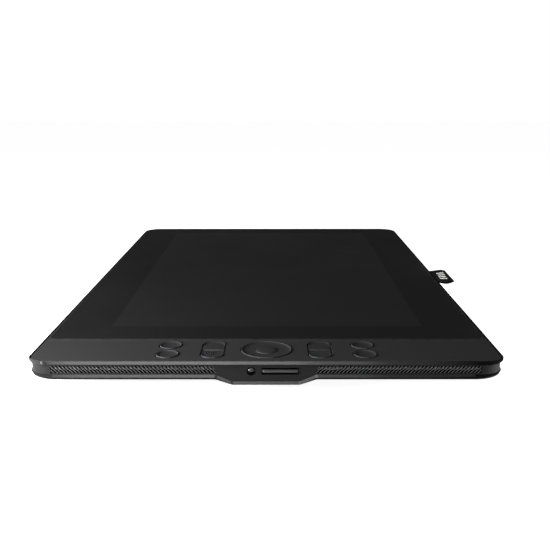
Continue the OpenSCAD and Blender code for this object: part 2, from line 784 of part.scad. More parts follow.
// The near left split key carries fine ridges that are felt under the finger
module key_split_left_near() {
    ridge_y = key_y - pill_l / 4 - ridge_shift;
    dish_z = z_top - key_dish;
    split_key(-1, -1);
    color([0.11, 0.11, 0.12]) for (i = [-2 : 2]) translate([-pill_x + ridge_pitch * i, ridge_y, 0])
        box(-ridge_w / 2, ridge_w / 2, -ridge_l / 2, ridge_l / 2, dish_z - ridge_root, dish_z + ridge_up);
}

module strip_board(z0, z1)
    box(-key_board_w / 2, key_board_w / 2, key_board_near_y, key_board_far_y, z0, z1);

module key_mat() color([0.35, 0.36, 0.38]) {
    strip_board(z_key_board_top, z_key_mat_top);
    for (s = [-1, 1], e = [-1, 1]) {
        translate([s * round_x, key_y + e * key_pitch / 2, 0]) disc(dome_r, z_key_board_top, z_dome_top);
        translate([s * pill_x, key_y + e * pill_l / 4, 0]) disc(dome_r, z_key_board_top, z_dome_top);
    }
    translate([0, key_y, 0]) disc(dome_r, z_key_board_top, z_dome_top);
}

module key_board() color([0.1, 0.3, 0.15]) strip_board(z_chassis_top, z_key_board_top);

// Side buttons
module power_button() color([0.14, 0.14, 0.15]) {
    front = band_front_y - power_proud;
    crown_r = ball_r(power_r, power_crown);
    intersection() {
        rod_y(power_x, button_z, power_r, front, band_back_y + join);
        translate([power_x, front + crown_r, button_z]) sphere(crown_r);
    }
    rod_y(power_x, button_z, power_r + button_flange, band_back_y, band_back_y + button_flange_t);
    rod_y(power_x, button_z, power_post_r, band_back_y, switch_face_y - power_travel - switch_rest_gap);
}

module volume_rocker() color([0.14, 0.14, 0.15]) {
    rear = rocker_pivot_y + rocker_rear;
    face = band_front_y - rocker_face;
    front = band_front_y - rocker_proud;
    half_l = rocker_l / 2;
    half_h = rocker_h / 2;
    translate([rocker_x, 0, button_z]) intersection() {
        along_x(-half_l, half_l) polygon([
            [rear, -half_h], [face, -half_h], [front, -rocker_nose / 2],
            [front, rocker_nose / 2], [face, half_h], [rear, half_h]
        ]);
        translate([0, 0, -rocker_h]) linear_extrude(2 * rocker_h) polygon([
            [-half_l, rear], [-half_l, face], [-half_l + rocker_point, front],
            [half_l - rocker_point, front], [half_l, face], [half_l, rear]
        ]);
    }
    translate([rocker_x, rocker_pivot_y, 0])
        disc(rocker_pin_r, rocker_low - rocker_ear_t, rocker_high + rocker_ear_t);
}

module side_switches() color([0.6, 0.6, 0.6])
    for (x = [power_x, rocker_x - switch_reach, rocker_x + switch_reach])
        box(x - switch_w / 2, x + switch_w / 2, switch_face_y, switch_board_y,
            button_z - switch_h / 2, button_z + switch_h / 2);

module switch_board() color([0.1, 0.3, 0.15])
    box(-dip_floor_half + switch_board_gap, dip_floor_half - switch_board_gap,
        switch_board_y, switch_board_y + switch_board_t, z_lip_top - dip, z_chassis_top + switch_board_up);

module status_light() color([0.8, 0.85, 0.9])
    rod_y(status_x, button_z + status_up, status_r, band_front_y, band_back_y + status_tail);

// Boards and cooling
module main_board() color([0.1, 0.3, 0.15]) difference() {
    union() {
        box(-board_neck_w / 2, board_neck_w / 2, board_front_y, board_back_y, z_board_under, z_board_top);
        box(-board_wide_w / 2, board_wide_w / 2, board_step_y, board_back_y, z_board_under, z_board_top);
    }
    at_spots(standoff_spots) disc(screw_r + loose_fit, z_board_under - over, z_board_top + over);
}

module processor() color([0.15, 0.15, 0.16])
    box(-chip_w / 2, chip_w / 2, pipe_y - chip_d / 2, pipe_y + chip_d / 2, z_chip_under, z_board_under);

module heat_plate() color([0.72, 0.45, 0.3])
    box(-heat_plate_w / 2, heat_plate_w / 2, pipe_y - heat_plate_d / 2, pipe_y + heat_plate_d / 2,
        z_pipe_top, z_chip_under);

module heat_pipe() color([0.72, 0.45, 0.3])
    translate([0, pipe_y, z_pipe_under]) linear_extrude(pipe_h) slot_shape(pipe_l, pipe_w);

module fin_stack(side) color([0.62, 0.63, 0.65]) {
    x0 = side * fan_x - fin_l / 2;
    y0 = pipe_y - fin_d / 2;
    y1 = pipe_y + fin_d / 2;
    box(x0, x0 + fin_l, y0, y1, z_pipe_top, z_pipe_top + fin_base_t);
    for (i = [0 : floor((fin_l - fin_t) / fin_pitch)])
        translate([x0 + i * fin_pitch, 0, 0])
            box(0, fin_t, y0, y1, z_pipe_top + fin_base_t - join, z_pipe_top + fin_h);
}

module fins_left() fin_stack(-1);
module fins_right() fin_stack(1);

module fan_case(side) color([0.12, 0.12, 0.13]) translate([side * fan_x, fan_y, 0]) {
    difference() {
        plate(fan_w, fan_w, fan_corner_r, z_floor, z_fan_top);
        disc(fan_w / 2 - fan_wall, z_floor + fan_wall, z_fan_top - fan_wall);
        disc(fan_inlet_r, z_floor - over, z_floor + fan_wall + over);
        box(-fan_w / 2 + fan_corner_r, fan_w / 2 - fan_corner_r, -fan_w / 2 - over, 0,
            z_floor + fan_wall, z_fan_top - fan_wall);
    }
    disc(fan_pin_r, z_floor + fan_wall, z_fan_top - fan_wall / 2);
}

module fan_case_left() fan_case(-1);
module fan_case_right() fan_case(1);

module fan_rotor(side) color([0.2, 0.2, 0.22]) translate([side * fan_x, fan_y, 0]) {
    z0 = z_floor + fan_wall + rotor_gap;
    z1 = z_fan_top - fan_wall - rotor_gap;
    difference() {
        union() {
            disc(hub_r, z0, z1);
            for (i = [0 : blade_count - 1]) rotate([0, 0, 360 / blade_count * i])
                box(hub_r - blade_t, rotor_r, -blade_t / 2, blade_t / 2, z0, z1);
        }
        disc(fan_pin_r + pin_fit, z0 - over, z1 + over);
    }
}

module fan_rotor_left() fan_rotor(-1);
module fan_rotor_right() fan_rotor(1);

module battery() color([0.16, 0.17, 0.2]) translate([0, (battery_near_y + battery_far_y) / 2, 0])
    plate(battery_w, battery_far_y - battery_near_y, battery_r, z_floor, z_floor + battery_h);

// Flat cables
module panel_ribbon() color([0.6, 0.35, 0.1]) along_y(panel_ribbon_y0, panel_ribbon_y1) {
    start_z = z_panel_under + ribbon_lift;
    turn_z = z_chassis_under - pass_fit - ribbon_t;
    drop_x = board_wide_w / 2 - ribbon_t;
    ribbon_shape([
        [active_w / 2 + panel_margin, start_z], [panel_ribbon_x, start_z], [panel_ribbon_x, turn_z],
        [drop_x, turn_z], [drop_x, z_board_top], [drop_x - ribbon_land, z_board_top]
    ]);
}

module key_ribbon() color([0.6, 0.35, 0.1])
    along_x(-key_ribbon_w / 2, key_ribbon_w / 2) ribbon_shape([
        [key_board_far_y, z_chassis_top + ribbon_lift], [key_ribbon_y, z_chassis_top + ribbon_lift],
        [key_ribbon_y, z_board_top], [key_ribbon_y + ribbon_land, z_board_top]
    ]);

module socket_ribbon() color([0.6, 0.35, 0.1])
    along_x(-socket_ribbon_w / 2, socket_ribbon_w / 2) ribbon_shape([
        [socket_board_y - ribbon_t, z_lip_top + ribbon_lift], [socket_ribbon_y, z_lip_top + ribbon_lift],
        [socket_ribbon_y, z_board_top], [board_back_y - ribbon_land, z_board_top]
    ]);

// Sockets
module usb_socket(side) color([0.7, 0.7, 0.72]) translate([side * socket_x, 0, 0]) {
    back_y = socket_front_y - socket_l;
    along_y(back_y, socket_front_y) translate([0, socket_z]) difference() {
        slot_shape(socket_w, socket_h);
        slot_shape(socket_w - 2 * socket_wall, socket_h - 2 * socket_wall);
    }
    along_y(back_y, back_y + socket_back_t) translate([0, socket_z])
        slot_shape(socket_w - socket_wall, socket_h - socket_wall);
    translate([0, 0, socket_z]) box(-tongue_w / 2, tongue_w / 2,
        back_y + socket_back_t - join, socket_front_y - tongue_set_back, -tongue_t / 2, tongue_t / 2);
}

module usb_socket_left() usb_socket(-1);
module usb_socket_right() usb_socket(1);

module socket_board() color([0.1, 0.3, 0.15])
    box(-socket_board_w / 2, socket_board_w / 2, socket_board_y, socket_board_y + socket_board_d,
        z_lip_top, z_lip_top + socket_board_t);

// Feet, screws and tag
module feet() color([0.05, 0.05, 0.05]) at_spots(foot_spots) disc(foot_r, 0, foot_h + foot_recess);

// A screw that points up, with the underside of its head at z
module screw_up(z, reach) difference() {
    union() {
        disc(screw_head_r, z - screw_head_h, z);
        disc(screw_r, z - screw_head_h, z + reach);
    }
    disc(screw_drive_r, z - screw_head_h - over, z - screw_head_h / 2);
}

module cover_screws() color([0.25, 0.25, 0.26]) at_spots(cover_screw_spots)
    screw_up(z_cover_under, z_lip_top - thread_skin - screw_tip_gap - z_cover_under);

module board_screws() color([0.55, 0.55, 0.57]) at_spots(standoff_spots)
    screw_up(z_board_under, z_chassis_under - screw_tip_gap - z_board_under);

module chassis_screws() color([0.55, 0.55, 0.57]) at_spots(chassis_screw_spots)
    translate([0, 0, 2 * z_chassis_top]) mirror([0, 0, 1])
        screw_up(z_chassis_top, z_chassis_top - z_lip_under - thread_skin - screw_tip_gap);

// Woven ribbon folded at its outer end, with both ends held in the anchor
module fabric_tag() color([0.04, 0.04, 0.045])
    along_y(tag_y - tag_w / 2, tag_y + tag_w / 2) translate([0, tag_z]) difference() {
        folded_shape(tag_t, anchor_x + anchor_back);
        folded_shape(tag_ply_gap, anchor_x + anchor_back - over);
    }

// Bar with a round nose at the tag's fold, drawn in X and Z
module folded_shape(h, x0) {
    translate([x0, -h / 2]) square([tag_nose_x - x0, h]);
    translate([tag_nose_x, 0]) circle(h / 2);
}

module tag_anchor() color([0.2, 0.2, 0.2]) translate([0, tag_y, 0]) difference() {
    reach = tag_w / 2 + anchor_wall;
    box(anchor_x, anchor_x + anchor_w, -reach, reach, z_lip_top, tag_z + anchor_wall);
    box(anchor_x + anchor_back, anchor_x + anchor_w + over, -tag_w / 2, tag_w / 2,
        tag_z - tag_t / 2, tag_z + tag_t / 2);
}

top_bezel();
cover_glass();
glass_gasket();
optical_bond();
display_panel();
pen_board();
chassis();
side_band();
lower_frame();
bottom_cover();
vent_left();
vent_right();
touch_ring();
ring_sensor();
centre_button();
key_round_left_far();
key_round_left_near();
key_round_right_far();
key_round_right_near();
key_split_left_far();
key_split_left_near();
key_split_right_far();
key_split_right_near();
key_mat();
key_board();
power_button();
volume_rocker();
side_switches();
switch_board();
status_light();
main_board();
processor();
heat_plate();
heat_pipe();
fins_left();
fins_right();
fan_case_left();
fan_case_right();
fan_rotor_left();
fan_rotor_right();
battery();
panel_ribbon();
key_ribbon();
socket_ribbon();
usb_socket_left();
usb_socket_right();
socket_board();
feet();
cover_screws();
chassis_screws();
board_screws();
fabric_tag();
tag_anchor();
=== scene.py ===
"""Fine form and finish of a pen display tablet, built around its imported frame.

The sub-assemblies hold their sizes in millimetres, and a mesh is scaled to metres when it becomes a piece.
Floor, lamps and camera are in metres. X runs left to right, Y from the key edge to the far edge and Z up,
as in the frame.
"""

import json
import logging
import math
from collections.abc import Callable, Iterable, Iterator, Sequence
from contextlib import contextmanager
from dataclasses import dataclass
from enum import Enum

import bmesh
import bpy
from bmesh.types import BMEdge, BMesh, BMFace, BMLayerItem, BMVert
from mathutils import Matrix, Vector


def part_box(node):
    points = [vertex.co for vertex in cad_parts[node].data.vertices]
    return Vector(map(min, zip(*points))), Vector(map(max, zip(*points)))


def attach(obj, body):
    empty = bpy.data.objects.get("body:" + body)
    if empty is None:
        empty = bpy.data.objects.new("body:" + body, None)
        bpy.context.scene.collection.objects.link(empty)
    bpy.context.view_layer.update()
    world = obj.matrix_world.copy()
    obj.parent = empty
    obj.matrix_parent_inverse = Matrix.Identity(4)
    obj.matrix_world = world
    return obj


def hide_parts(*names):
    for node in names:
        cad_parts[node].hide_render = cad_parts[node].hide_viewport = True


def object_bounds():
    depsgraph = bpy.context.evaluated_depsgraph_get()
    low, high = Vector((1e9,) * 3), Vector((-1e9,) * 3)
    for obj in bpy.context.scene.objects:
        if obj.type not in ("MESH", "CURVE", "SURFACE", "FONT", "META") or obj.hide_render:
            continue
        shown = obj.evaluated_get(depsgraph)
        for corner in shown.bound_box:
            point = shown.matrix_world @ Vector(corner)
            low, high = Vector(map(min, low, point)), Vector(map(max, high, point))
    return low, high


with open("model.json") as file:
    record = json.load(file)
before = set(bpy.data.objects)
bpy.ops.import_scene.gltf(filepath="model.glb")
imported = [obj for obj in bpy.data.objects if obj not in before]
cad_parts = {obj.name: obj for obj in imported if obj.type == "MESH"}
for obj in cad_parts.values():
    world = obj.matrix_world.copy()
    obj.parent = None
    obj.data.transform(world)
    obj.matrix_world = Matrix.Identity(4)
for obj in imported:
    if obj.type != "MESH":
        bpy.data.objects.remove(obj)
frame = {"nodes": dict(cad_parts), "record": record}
CAD_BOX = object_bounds()

LOG = logging.getLogger("tablet")
MM = 0.001
HOUSING = "housing"
# Vertex attribute and face layer of the marks for the other tone: wear on rounded edges, painted highlight
# and sheen.
WEAR_AND_HIGHLIGHT_ATTRIBUTE = "edge"
WEAR_AND_HIGHLIGHT_FACES = "rounded"
X_AXIS = Vector((1, 0, 0))
Y_AXIS = Vector((0, 1, 0))
Z_AXIS = Vector((0, 0, 1))
SAME_PLACE = 2e-3
SHORTEST_EDGE = 0.01
CLEARANCE = 1.0
SMOOTH_ANGLE = math.radians(40)
FLAT_ANGLE = math.radians(0.5)
CORNER_STEPS = 16
ROUND_STEPS = 2
FINE_STEPS = 3

# Limits of a face's normal along one axis
LEVEL = 0.99
UPRIGHT = 0.1
FACING = 0.2
CORNER_TURN = (0.2, 0.6)

# The middle part of a noise, which is stretched to the whole range
NOISE_RANGE = (0.3, 0.7)

Colour = tuple[float, float, float]
Flat = tuple[float, float]
Triple = tuple[float, float, float]
Socket = bpy.types.NodeSocket
Sockets = dict[str, Socket]
Value = float | Socket


class Side(Enum):
    """Left or right half of the tablet, with its sign along X."""

    LEFT = -1
    RIGHT = 1


class Row(Enum):
    """Near or far key of a pair, with its sign along Y."""

    NEAR = -1
    FAR = 1


class Turn(Enum):
    """Least angle between the two faces at an edge that counts as sharp, in degrees."""

    SLIGHT = 20
    GENTLE = 25
    CLEAR = 30
    SHARP = 40
    SQUARE = 60


class Grain(Enum):
    """Fineness of a surface's texture, in cells to the metre."""

    GLASS = 9000.0
    PAINT = 5200.0
    MOULDED = 3600.0
    COARSE = 1500.0


# Boxes of the frame, in millimetres


@dataclass(frozen=True)
class Box:
    """Lowest and highest corner of something, in millimetres."""

    low: Vector
    high: Vector

    @property
    def centre(self) -> Vector:
        """Middle of the box."""
        return (self.low + self.high) / 2

    @property
    def half(self) -> Vector:
        """Half of each side's length."""
        return (self.high - self.low) / 2


def node_box(name: str) -> Box:
    """Box of a CAD node.

    Args:
        name: The node's name.

    Returns:
        The node's box in millimetres.
    """
    low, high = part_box(name)
    return Box(low / MM, high / MM)


# Drawing and shaping in a bmesh


class Pen:
    """Draws an outline of lines and arcs in a bmesh, from one vertex to the next."""

    def __init__(self, bm: BMesh, start: Sequence[float], axis: Vector = Z_AXIS) -> None:
        """Starts an outline.

        Args:
            bm: The mesh that is drawn in.
            start: The first point.
            axis: The axis that arcs turn about.
        """
        self.bm = bm
        self.axis = axis
        self.first = bm.verts.new(Vector(start))
        self.tip = self.first
        self.edges: list[BMEdge] = []

    def line(self, *points: Sequence[float]) -> "Pen":
        """Draws straight lines through points.

        Args:
            points: The points to go through, in order.

        Returns:
            The pen, for the next stroke.
        """
        for point in points:
            target = Vector(point)
            if (target - self.tip.co).length > SAME_PLACE:
                made = bmesh.ops.extrude_vert_indiv(self.bm, verts=[self.tip])
                self.tip = made["verts"][0]
                self.tip.co = target
                self.edges += made["edges"]
        return self

    def arc(self, centre: Sequence[float], degrees: float, steps: int = CORNER_STEPS) -> "Pen":
        """Draws an arc.

        Args:
            centre: The arc's centre.
            degrees: The angle that the arc turns through.
            steps: The number of straight steps in it.

        Returns:
            The pen, for the next stroke.
        """
        known = set(self.bm.edges)
        made = bmesh.ops.spin(self.bm, geom=[self.tip], cent=Vector(centre), axis=self.axis,
                              angle=math.radians(degrees), steps=steps)
        self.tip = next(g for g in made["geom_last"] if isinstance(g, BMVert))
        self.edges += [e for e in self.bm.edges if e not in known]
        return self

    def close(self) -> list[BMEdge]:
        """Joins the outline's end to its start.

        Returns:
            The outline's edges.
        """
        if (self.tip.co - self.first.co).length > SAME_PLACE:
            self.edges.append(self.bm.edges.new((self.tip, self.first)))
            return self.edges
        verts = {v for e in self.edges for v in e.verts} - {self.tip}
        bmesh.ops.weld_verts(self.bm, targetmap={self.tip: self.first})
        return list({e for v in verts for e in v.link_edges})


def rounded_outline(bm: BMesh, centre: Flat, half: Flat, radii: Flat, z: float = 0) -> list[BMEdge]:
    """Draws a rectangle with round corners, level at a height.

    Args:
        bm: The mesh that is drawn in.
        centre: The rectangle's middle.
        half: Half of its width and depth.
        radii: Corner radius at the near side and at the far side.
        z: The height.

    Returns:
        The outline's edges.
    """
    x0, x1 = centre[0] - half[0], centre[0] + half[0]
    y0, y1 = centre[1] - half[1], centre[1] + half[1]
    near, far = radii
    pen = Pen(bm, (x0 + near, y0, z))
    pen.line((x1 - near, y0, z)).arc((x1 - near, y0 + near, z), 90)
    pen.line((x1, y1 - far, z)).arc((x1 - far, y1 - far, z), 90)
    pen.line((x0 + far, y1, z)).arc((x0 + far, y1 - far, z), 90)
    pen.line((x0, y0 + near, z)).arc((x0 + near, y0 + near, z), 90)
    return pen.close()


def circle_outline(bm: BMesh, centre: Flat, radius: float, z: float = 0, steps: int = 64) -> list[BMEdge]:
    """Draws a level circle.

    Args:
        bm: The mesh that is drawn in.
        centre: The circle's middle.
        radius: Its radius.
        z: Its height.
        steps: The number of straight steps in it.

    Returns:
        The circle's edges.
    """
    made = bmesh.ops.create_circle(bm, radius=radius, segments=steps,
                                   matrix=Matrix.Translation((centre[0], centre[1], z)))
    return list({e for v in made["verts"] for e in v.link_edges})


@contextmanager
def placed(bm: BMesh, matrix: Matrix) -> Iterator[None]:
    """Moves all that is drawn inside the with block.

    Args:
        bm: The mesh that is drawn in.
        matrix: Where the drawing goes.

    Yields:
        Nothing.
    """
    known = set(bm.verts)
    yield
    bmesh.ops.transform(bm, matrix=matrix, verts=[v for v in bm.verts if v not in known])


def upright(y: float) -> Matrix:
    """Matrix from a drawing in X and Y to one in X and Z, at a place along Y."""
    return Matrix.Translation((0, y, 0)) @ Matrix.Rotation(math.radians(90), 4, "X")


def run_edges(bm: BMesh, edges: list[BMEdge], offset: Vector) -> list[BMEdge]:
    """Extrudes edges straight along an offset.

    Args:
        bm: The mesh.
        edges: The edges that sweep a surface.
        offset: How far they go.

    Returns:
        The edges at the far end.
    """
    made = bmesh.ops.extrude_edge_only(bm, edges=edges)["geom"]
    verts = {g for g in made if isinstance(g, BMVert)}
    bmesh.ops.translate(bm, vec=offset, verts=list(verts))
    return [g for g in made if isinstance(g, BMEdge) and set(g.verts) <= verts]


def turn_edges(bm: BMesh, edges: list[BMEdge], centre: Vector, degrees: float = 90,
               steps: int = CORNER_STEPS) -> list[BMEdge]:
    """Spins edges about an upright axis.

    Args:
        bm: The mesh.
        edges: The edges that sweep a surface.
        centre: A point on the axis.
        degrees: The angle that they turn through.
        steps: The number of straight steps in it.

    Returns:
        The edges at the far end.
    """
    geometry = list({v for e in edges for v in e.verts}) + list(edges)
    made = bmesh.ops.spin(bm, geom=geometry, cent=centre, axis=Z_AXIS,
                          angle=math.radians(degrees), steps=steps)
    return [g for g in made["geom_last"] if isinstance(g, BMEdge)]


def sweep_round(bm: BMesh, profile: Sequence[Flat], half: Flat, radii: Flat) -> None:
    """Sweeps a closed profile round a rectangle with round corners.

    Args:
        bm: The mesh.
        profile: The profile's points, as set-back from the outline and height.
        half: Half of the outline's width and depth.
        radii: The outline's corner radius at the near side and at the far side.
    """
    near, far = radii
    points = [Vector((near - half[0], inset - half[1], z)) for inset, z in profile]
    edges = Pen(bm, points[0]).line(*points[1:]).close()
    for quarter, (start, end) in enumerate(((near, near), (near, far), (far, far), (far, near))):
        heading = Matrix.Rotation(math.radians(90 * quarter), 3, "Z")
        along, across = half[quarter % 2], half[1 - quarter % 2]
        edges = run_edges(bm, edges, heading @ Vector((2 * along - start - end, 0, 0)))
        edges = turn_edges(bm, edges, heading @ Vector((along - end, end - across, 0)))
    bmesh.ops.remove_doubles(bm, verts=list(bm.verts), dist=SAME_PLACE)


def spin_round(bm: BMesh, profile: Sequence[Flat], centre: Flat = (0, 0), steps: int = 72) -> None:
    """Spins a profile of radius and height into a round piece.

    Args:
        bm: The mesh.
        profile: The profile's points, as radius and height.
        centre: The place of the axis.
        steps: The number of straight steps in a turn.
    """
    points = [Vector((centre[0] + r, centre[1], z)) for r, z in profile]
    edges = Pen(bm, points[0]).line(*points[1:]).edges
    geometry = list({v for e in edges for v in e.verts}) + edges
    bmesh.ops.spin(bm, geom=geometry, cent=(centre[0], centre[1], 0), axis=Z_AXIS,
                   angle=math.radians(360), steps=steps, use_merge=True)
    bmesh.ops.remove_doubles(bm, verts=list(bm.verts), dist=SAME_PLACE)


def fill(bm: BMesh, edges: list[BMEdge]) -> list[BMFace]:
    """Fills a flat outline, leaving the outlines inside it open.

    Args:
        bm: The mesh.
        edges: The edges of the outline and of its holes.

    Returns:
        The new faces.
    """
    known = set(bm.faces)
    made = bmesh.ops.triangle_fill(bm, edges=edges, use_beauty=True)["geom"]
    inner = [g for g in made if isinstance(g, BMEdge) and g not in set(edges)]
    bmesh.ops.dissolve_limit(bm, angle_limit=FLAT_ANGLE, edges=inner)
    return [f for f in bm.faces if f not in known]


def thicken(bm: BMesh, faces: list[BMFace], offset: Vector) -> None:
    """Extrudes flat faces into a closed plate.

    Args:
        bm: The mesh.
        faces: The faces of one side.
        offset: From that side to the other one.
    """
    made = bmesh.ops.extrude_face_region(bm, geom=faces)["geom"]
    bmesh.ops.translate(bm, vec=offset, verts=[g for g in made if isinstance(g, BMVert)])


def tidy(bm: BMesh) -> None:
    """Merges doubles and turns all faces outwards."""
    bmesh.ops.remove_doubles(bm, verts=list(bm.verts), dist=SAME_PLACE)
    bmesh.ops.recalc_face_normals(bm, faces=list(bm.faces))


def sharp_edges(bm: BMesh, turn: Turn = Turn.SHARP,
                where: Callable[[Vector], bool] = lambda place: True) -> list[BMEdge]:
    """Finds the edges at which a surface turns sharply.

    Args:
        bm: The mesh.
        turn: The least angle between the two faces.
        where: Tests the middle of an edge.

    Returns:
        The edges that pass.
    """
    least = math.radians(turn.value)
    return [e for e in bm.edges if e.is_manifold and e.calc_face_angle() > least
            and where((e.verts[0].co + e.verts[1].co) / 2)]


def wear_and_highlight_faces(bm: BMesh) -> BMLayerItem:
    """Layer that marks the faces which the finish shows in another tone: worn rounded edges and painted
    highlights.
    """
    return bm.faces.layers.int.get(WEAR_AND_HIGHLIGHT_FACES) or bm.faces.layers.int.new(WEAR_AND_HIGHLIGHT_FACES)


def soften(bm: BMesh, edges: list[BMEdge], width: float, segments: int = ROUND_STEPS) -> None:
    """Rounds edges, and marks the rounding for the finish's other tone, partly wear and partly painted
    highlight.

    Args:
        bm: The mesh.
        edges: The edges.
        width: How far the rounding reaches from each edge.
        segments: The number of faces across it.
    """
    rounded = wear_and_highlight_faces(bm)
    wanted = [e for e in edges if e.is_valid]
    made = bmesh.ops.bevel(bm, geom=wanted, offset=width, offset_type="OFFSET", segments=segments,
                           profile=0.5, affect="EDGES", clamp_overlap=True, material=-1)
    for face in made["faces"]:
        face[rounded] = 1


def mark_painted_highlight(bm: BMesh, chosen: Callable[[BMFace], bool]) -> None:
    """Marks the chosen faces, and no others, for the lighter tone, and the coat where the finish has one, of
    a painted highlight.
    """
    rounded = wear_and_highlight_faces(bm)
    for face in bm.faces:
        face[rounded] = int(chosen(face))


def mark_painted_sheen(bm: BMesh, half: Vector, radius: float, turned: float, fade: float = 30.0) -> None:
    """Marks the faces of a ring that get a painted sheen: its near run, the left corner and the turn of the
    right one.

    Args:
        bm: The mesh of the ring.
        half: Half its size along X and Y.
        radius: Radius of its corners.
        turned: The greatest normal along Y of the run's faces.
        fade: How far from the right corner the painted sheen starts to fade.
    """
    reach, near = half.x - radius, radius - half.y
    cut_at(bm, [reach - fade, reach], X_AXIS)
    bm.normal_update()

    def chosen(face: BMFace) -> bool:
        """Whether a face is marked."""
        place, normal = face.calc_center_median(), face.normal
        turn = CORNER_TURN[0] < normal.x < CORNER_TURN[1] and normal.z > FACING
        return place.y < near and normal.y < turned and (place.x < reach or turn)

    mark_painted_highlight(bm, chosen)


def mark_wear_and_highlight_verts(bm: BMesh) -> None:
    """Writes to the attribute that finishes read whether all faces at a vertex are marked."""
    rounded = bm.faces.layers.int.get(WEAR_AND_HIGHLIGHT_FACES)
    edge = bm.verts.layers.float.new(WEAR_AND_HIGHLIGHT_ATTRIBUTE)
    if rounded is None:
        return
    for vert in bm.verts:
        vert[edge] = float(all(f[rounded] for f in vert.link_faces))
    bm.faces.layers.int.remove(rounded)


def cut_at(bm: BMesh, places: Iterable[float], normal: Vector, faces: list[BMFace] | None = None) -> None:
    """Cuts a mesh by parallel planes, and keeps both sides.

    Args:
        bm: The mesh.
        places: How far each plane lies along the normal.
        normal: The planes' normal.
        faces: The faces that are cut, or None for all.
    """
    for place in places:
        chosen = bm.faces if faces is None else [f for f in faces if f.is_valid]
        geometry = {g for f in chosen for g in (f, *f.edges, *f.verts)}
        made = bmesh.ops.bisect_plane(bm, geom=list(geometry), plane_co=normal * place, plane_no=normal,
                                      dist=SAME_PLACE)
        if faces is not None:
            faces += [g for g in made["geom"] if isinstance(g, BMFace) and g not in faces]


def trim(bm: BMesh, place: Vector, outward: Vector) -> None:
    """Cuts off all that lies beyond a plane, and closes the cut.

    Args:
        bm: The mesh.
        place: A point on the plane.
        outward: The plane's normal, towards what goes.
    """
    geometry = list(bm.verts) + list(bm.edges) + list(bm.faces)
    made = bmesh.ops.bisect_plane(bm, geom=geometry, plane_co=place, plane_no=outward, dist=SAME_PLACE,
                                  clear_outer=True)
    cut = [g for g in made["geom_cut"] if isinstance(g, BMEdge)]
    bmesh.ops.edgeloop_fill(bm, edges=cut)


def eased(value: float, ease: float) -> float:
    """Ramp from 0 to 1 with rounded ends.

    Args:
        value: Place along the ramp, 0 at its foot and 1 at its head.
        ease: How far the rounding reaches on both sides of each end.

    Returns:
        The height of the ramp.
    """
    if value <= -ease:
        return 0.0
    if value < ease:
        return (value + ease) ** 2 / (4 * ease)
    if value <= 1 - ease:
        return value
    if value < 1 + ease:
        return 1 - (1 + ease - value) ** 2 / (4 * ease)
    return 1.0


def face_away(bm: BMesh, inside: Vector) -> None:
    """Turns every face of an open skin away from a point inside it."""
    wrong = [f for f in bm.faces if f.normal.dot(f.calc_center_median() - inside) < 0]
    bmesh.ops.reverse_faces(bm, faces=wrong)


def make_piece(name: str, bm: BMesh, material: bpy.types.Material, body: str = HOUSING,
               replaced: Sequence[str] = (), wall: float = 0, edge: float = 0) -> bpy.types.Object:
    """Turns a bmesh in millimetres into a finished piece that rides on a body.

    Args:
        name: The piece's name.
        bm: Its mesh, which is freed.
        material: Its finish.
        body: The CAD body that it moves with.
        replaced: The CAD nodes that it stands for.
        wall: Thickness that an open skin gets on its inner side, or 0.
        edge: Rounding of the edges of that wall, or 0.

    Returns:
        The piece's object.
    """
    tidy(bm)
    if wall:
        face_away(bm, (CAD_BOX[0] + CAD_BOX[1]) / (2 * MM))
    mark_wear_and_highlight_verts(bm)
    bmesh.ops.scale(bm, vec=Vector((MM, MM, MM)), verts=list(bm.verts))
    for face in bm.faces:
        face.smooth = True
    mesh = bpy.data.meshes.new(name)
    bm.to_mesh(mesh)
    bm.free()
    mesh.set_sharp_from_angle(angle=SMOOTH_ANGLE)
    mesh.materials.append(material)
    piece = bpy.data.objects.new(name, mesh)
    bpy.context.scene.collection.objects.link(piece)
    if wall:
        solid = piece.modifiers.new("wall", "SOLIDIFY")
        solid.thickness = wall * MM
        solid.offset = -1
    if edge:
        bevel = piece.modifiers.new("edges", "BEVEL")
        bevel.width = edge * MM
        bevel.segments = ROUND_STEPS
        bevel.limit_method = "ANGLE"
        bevel.angle_limit = SMOOTH_ANGLE
    normals = piece.modifiers.new("normals", "WEIGHTED_NORMAL")
    normals.keep_sharp = True
    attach(piece, body)
    if replaced:
        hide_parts(*replaced)
    LOG.info("%s: %d faces on %s", name, len(mesh.polygons), body)
    return piece


# Wiring of shader nodes


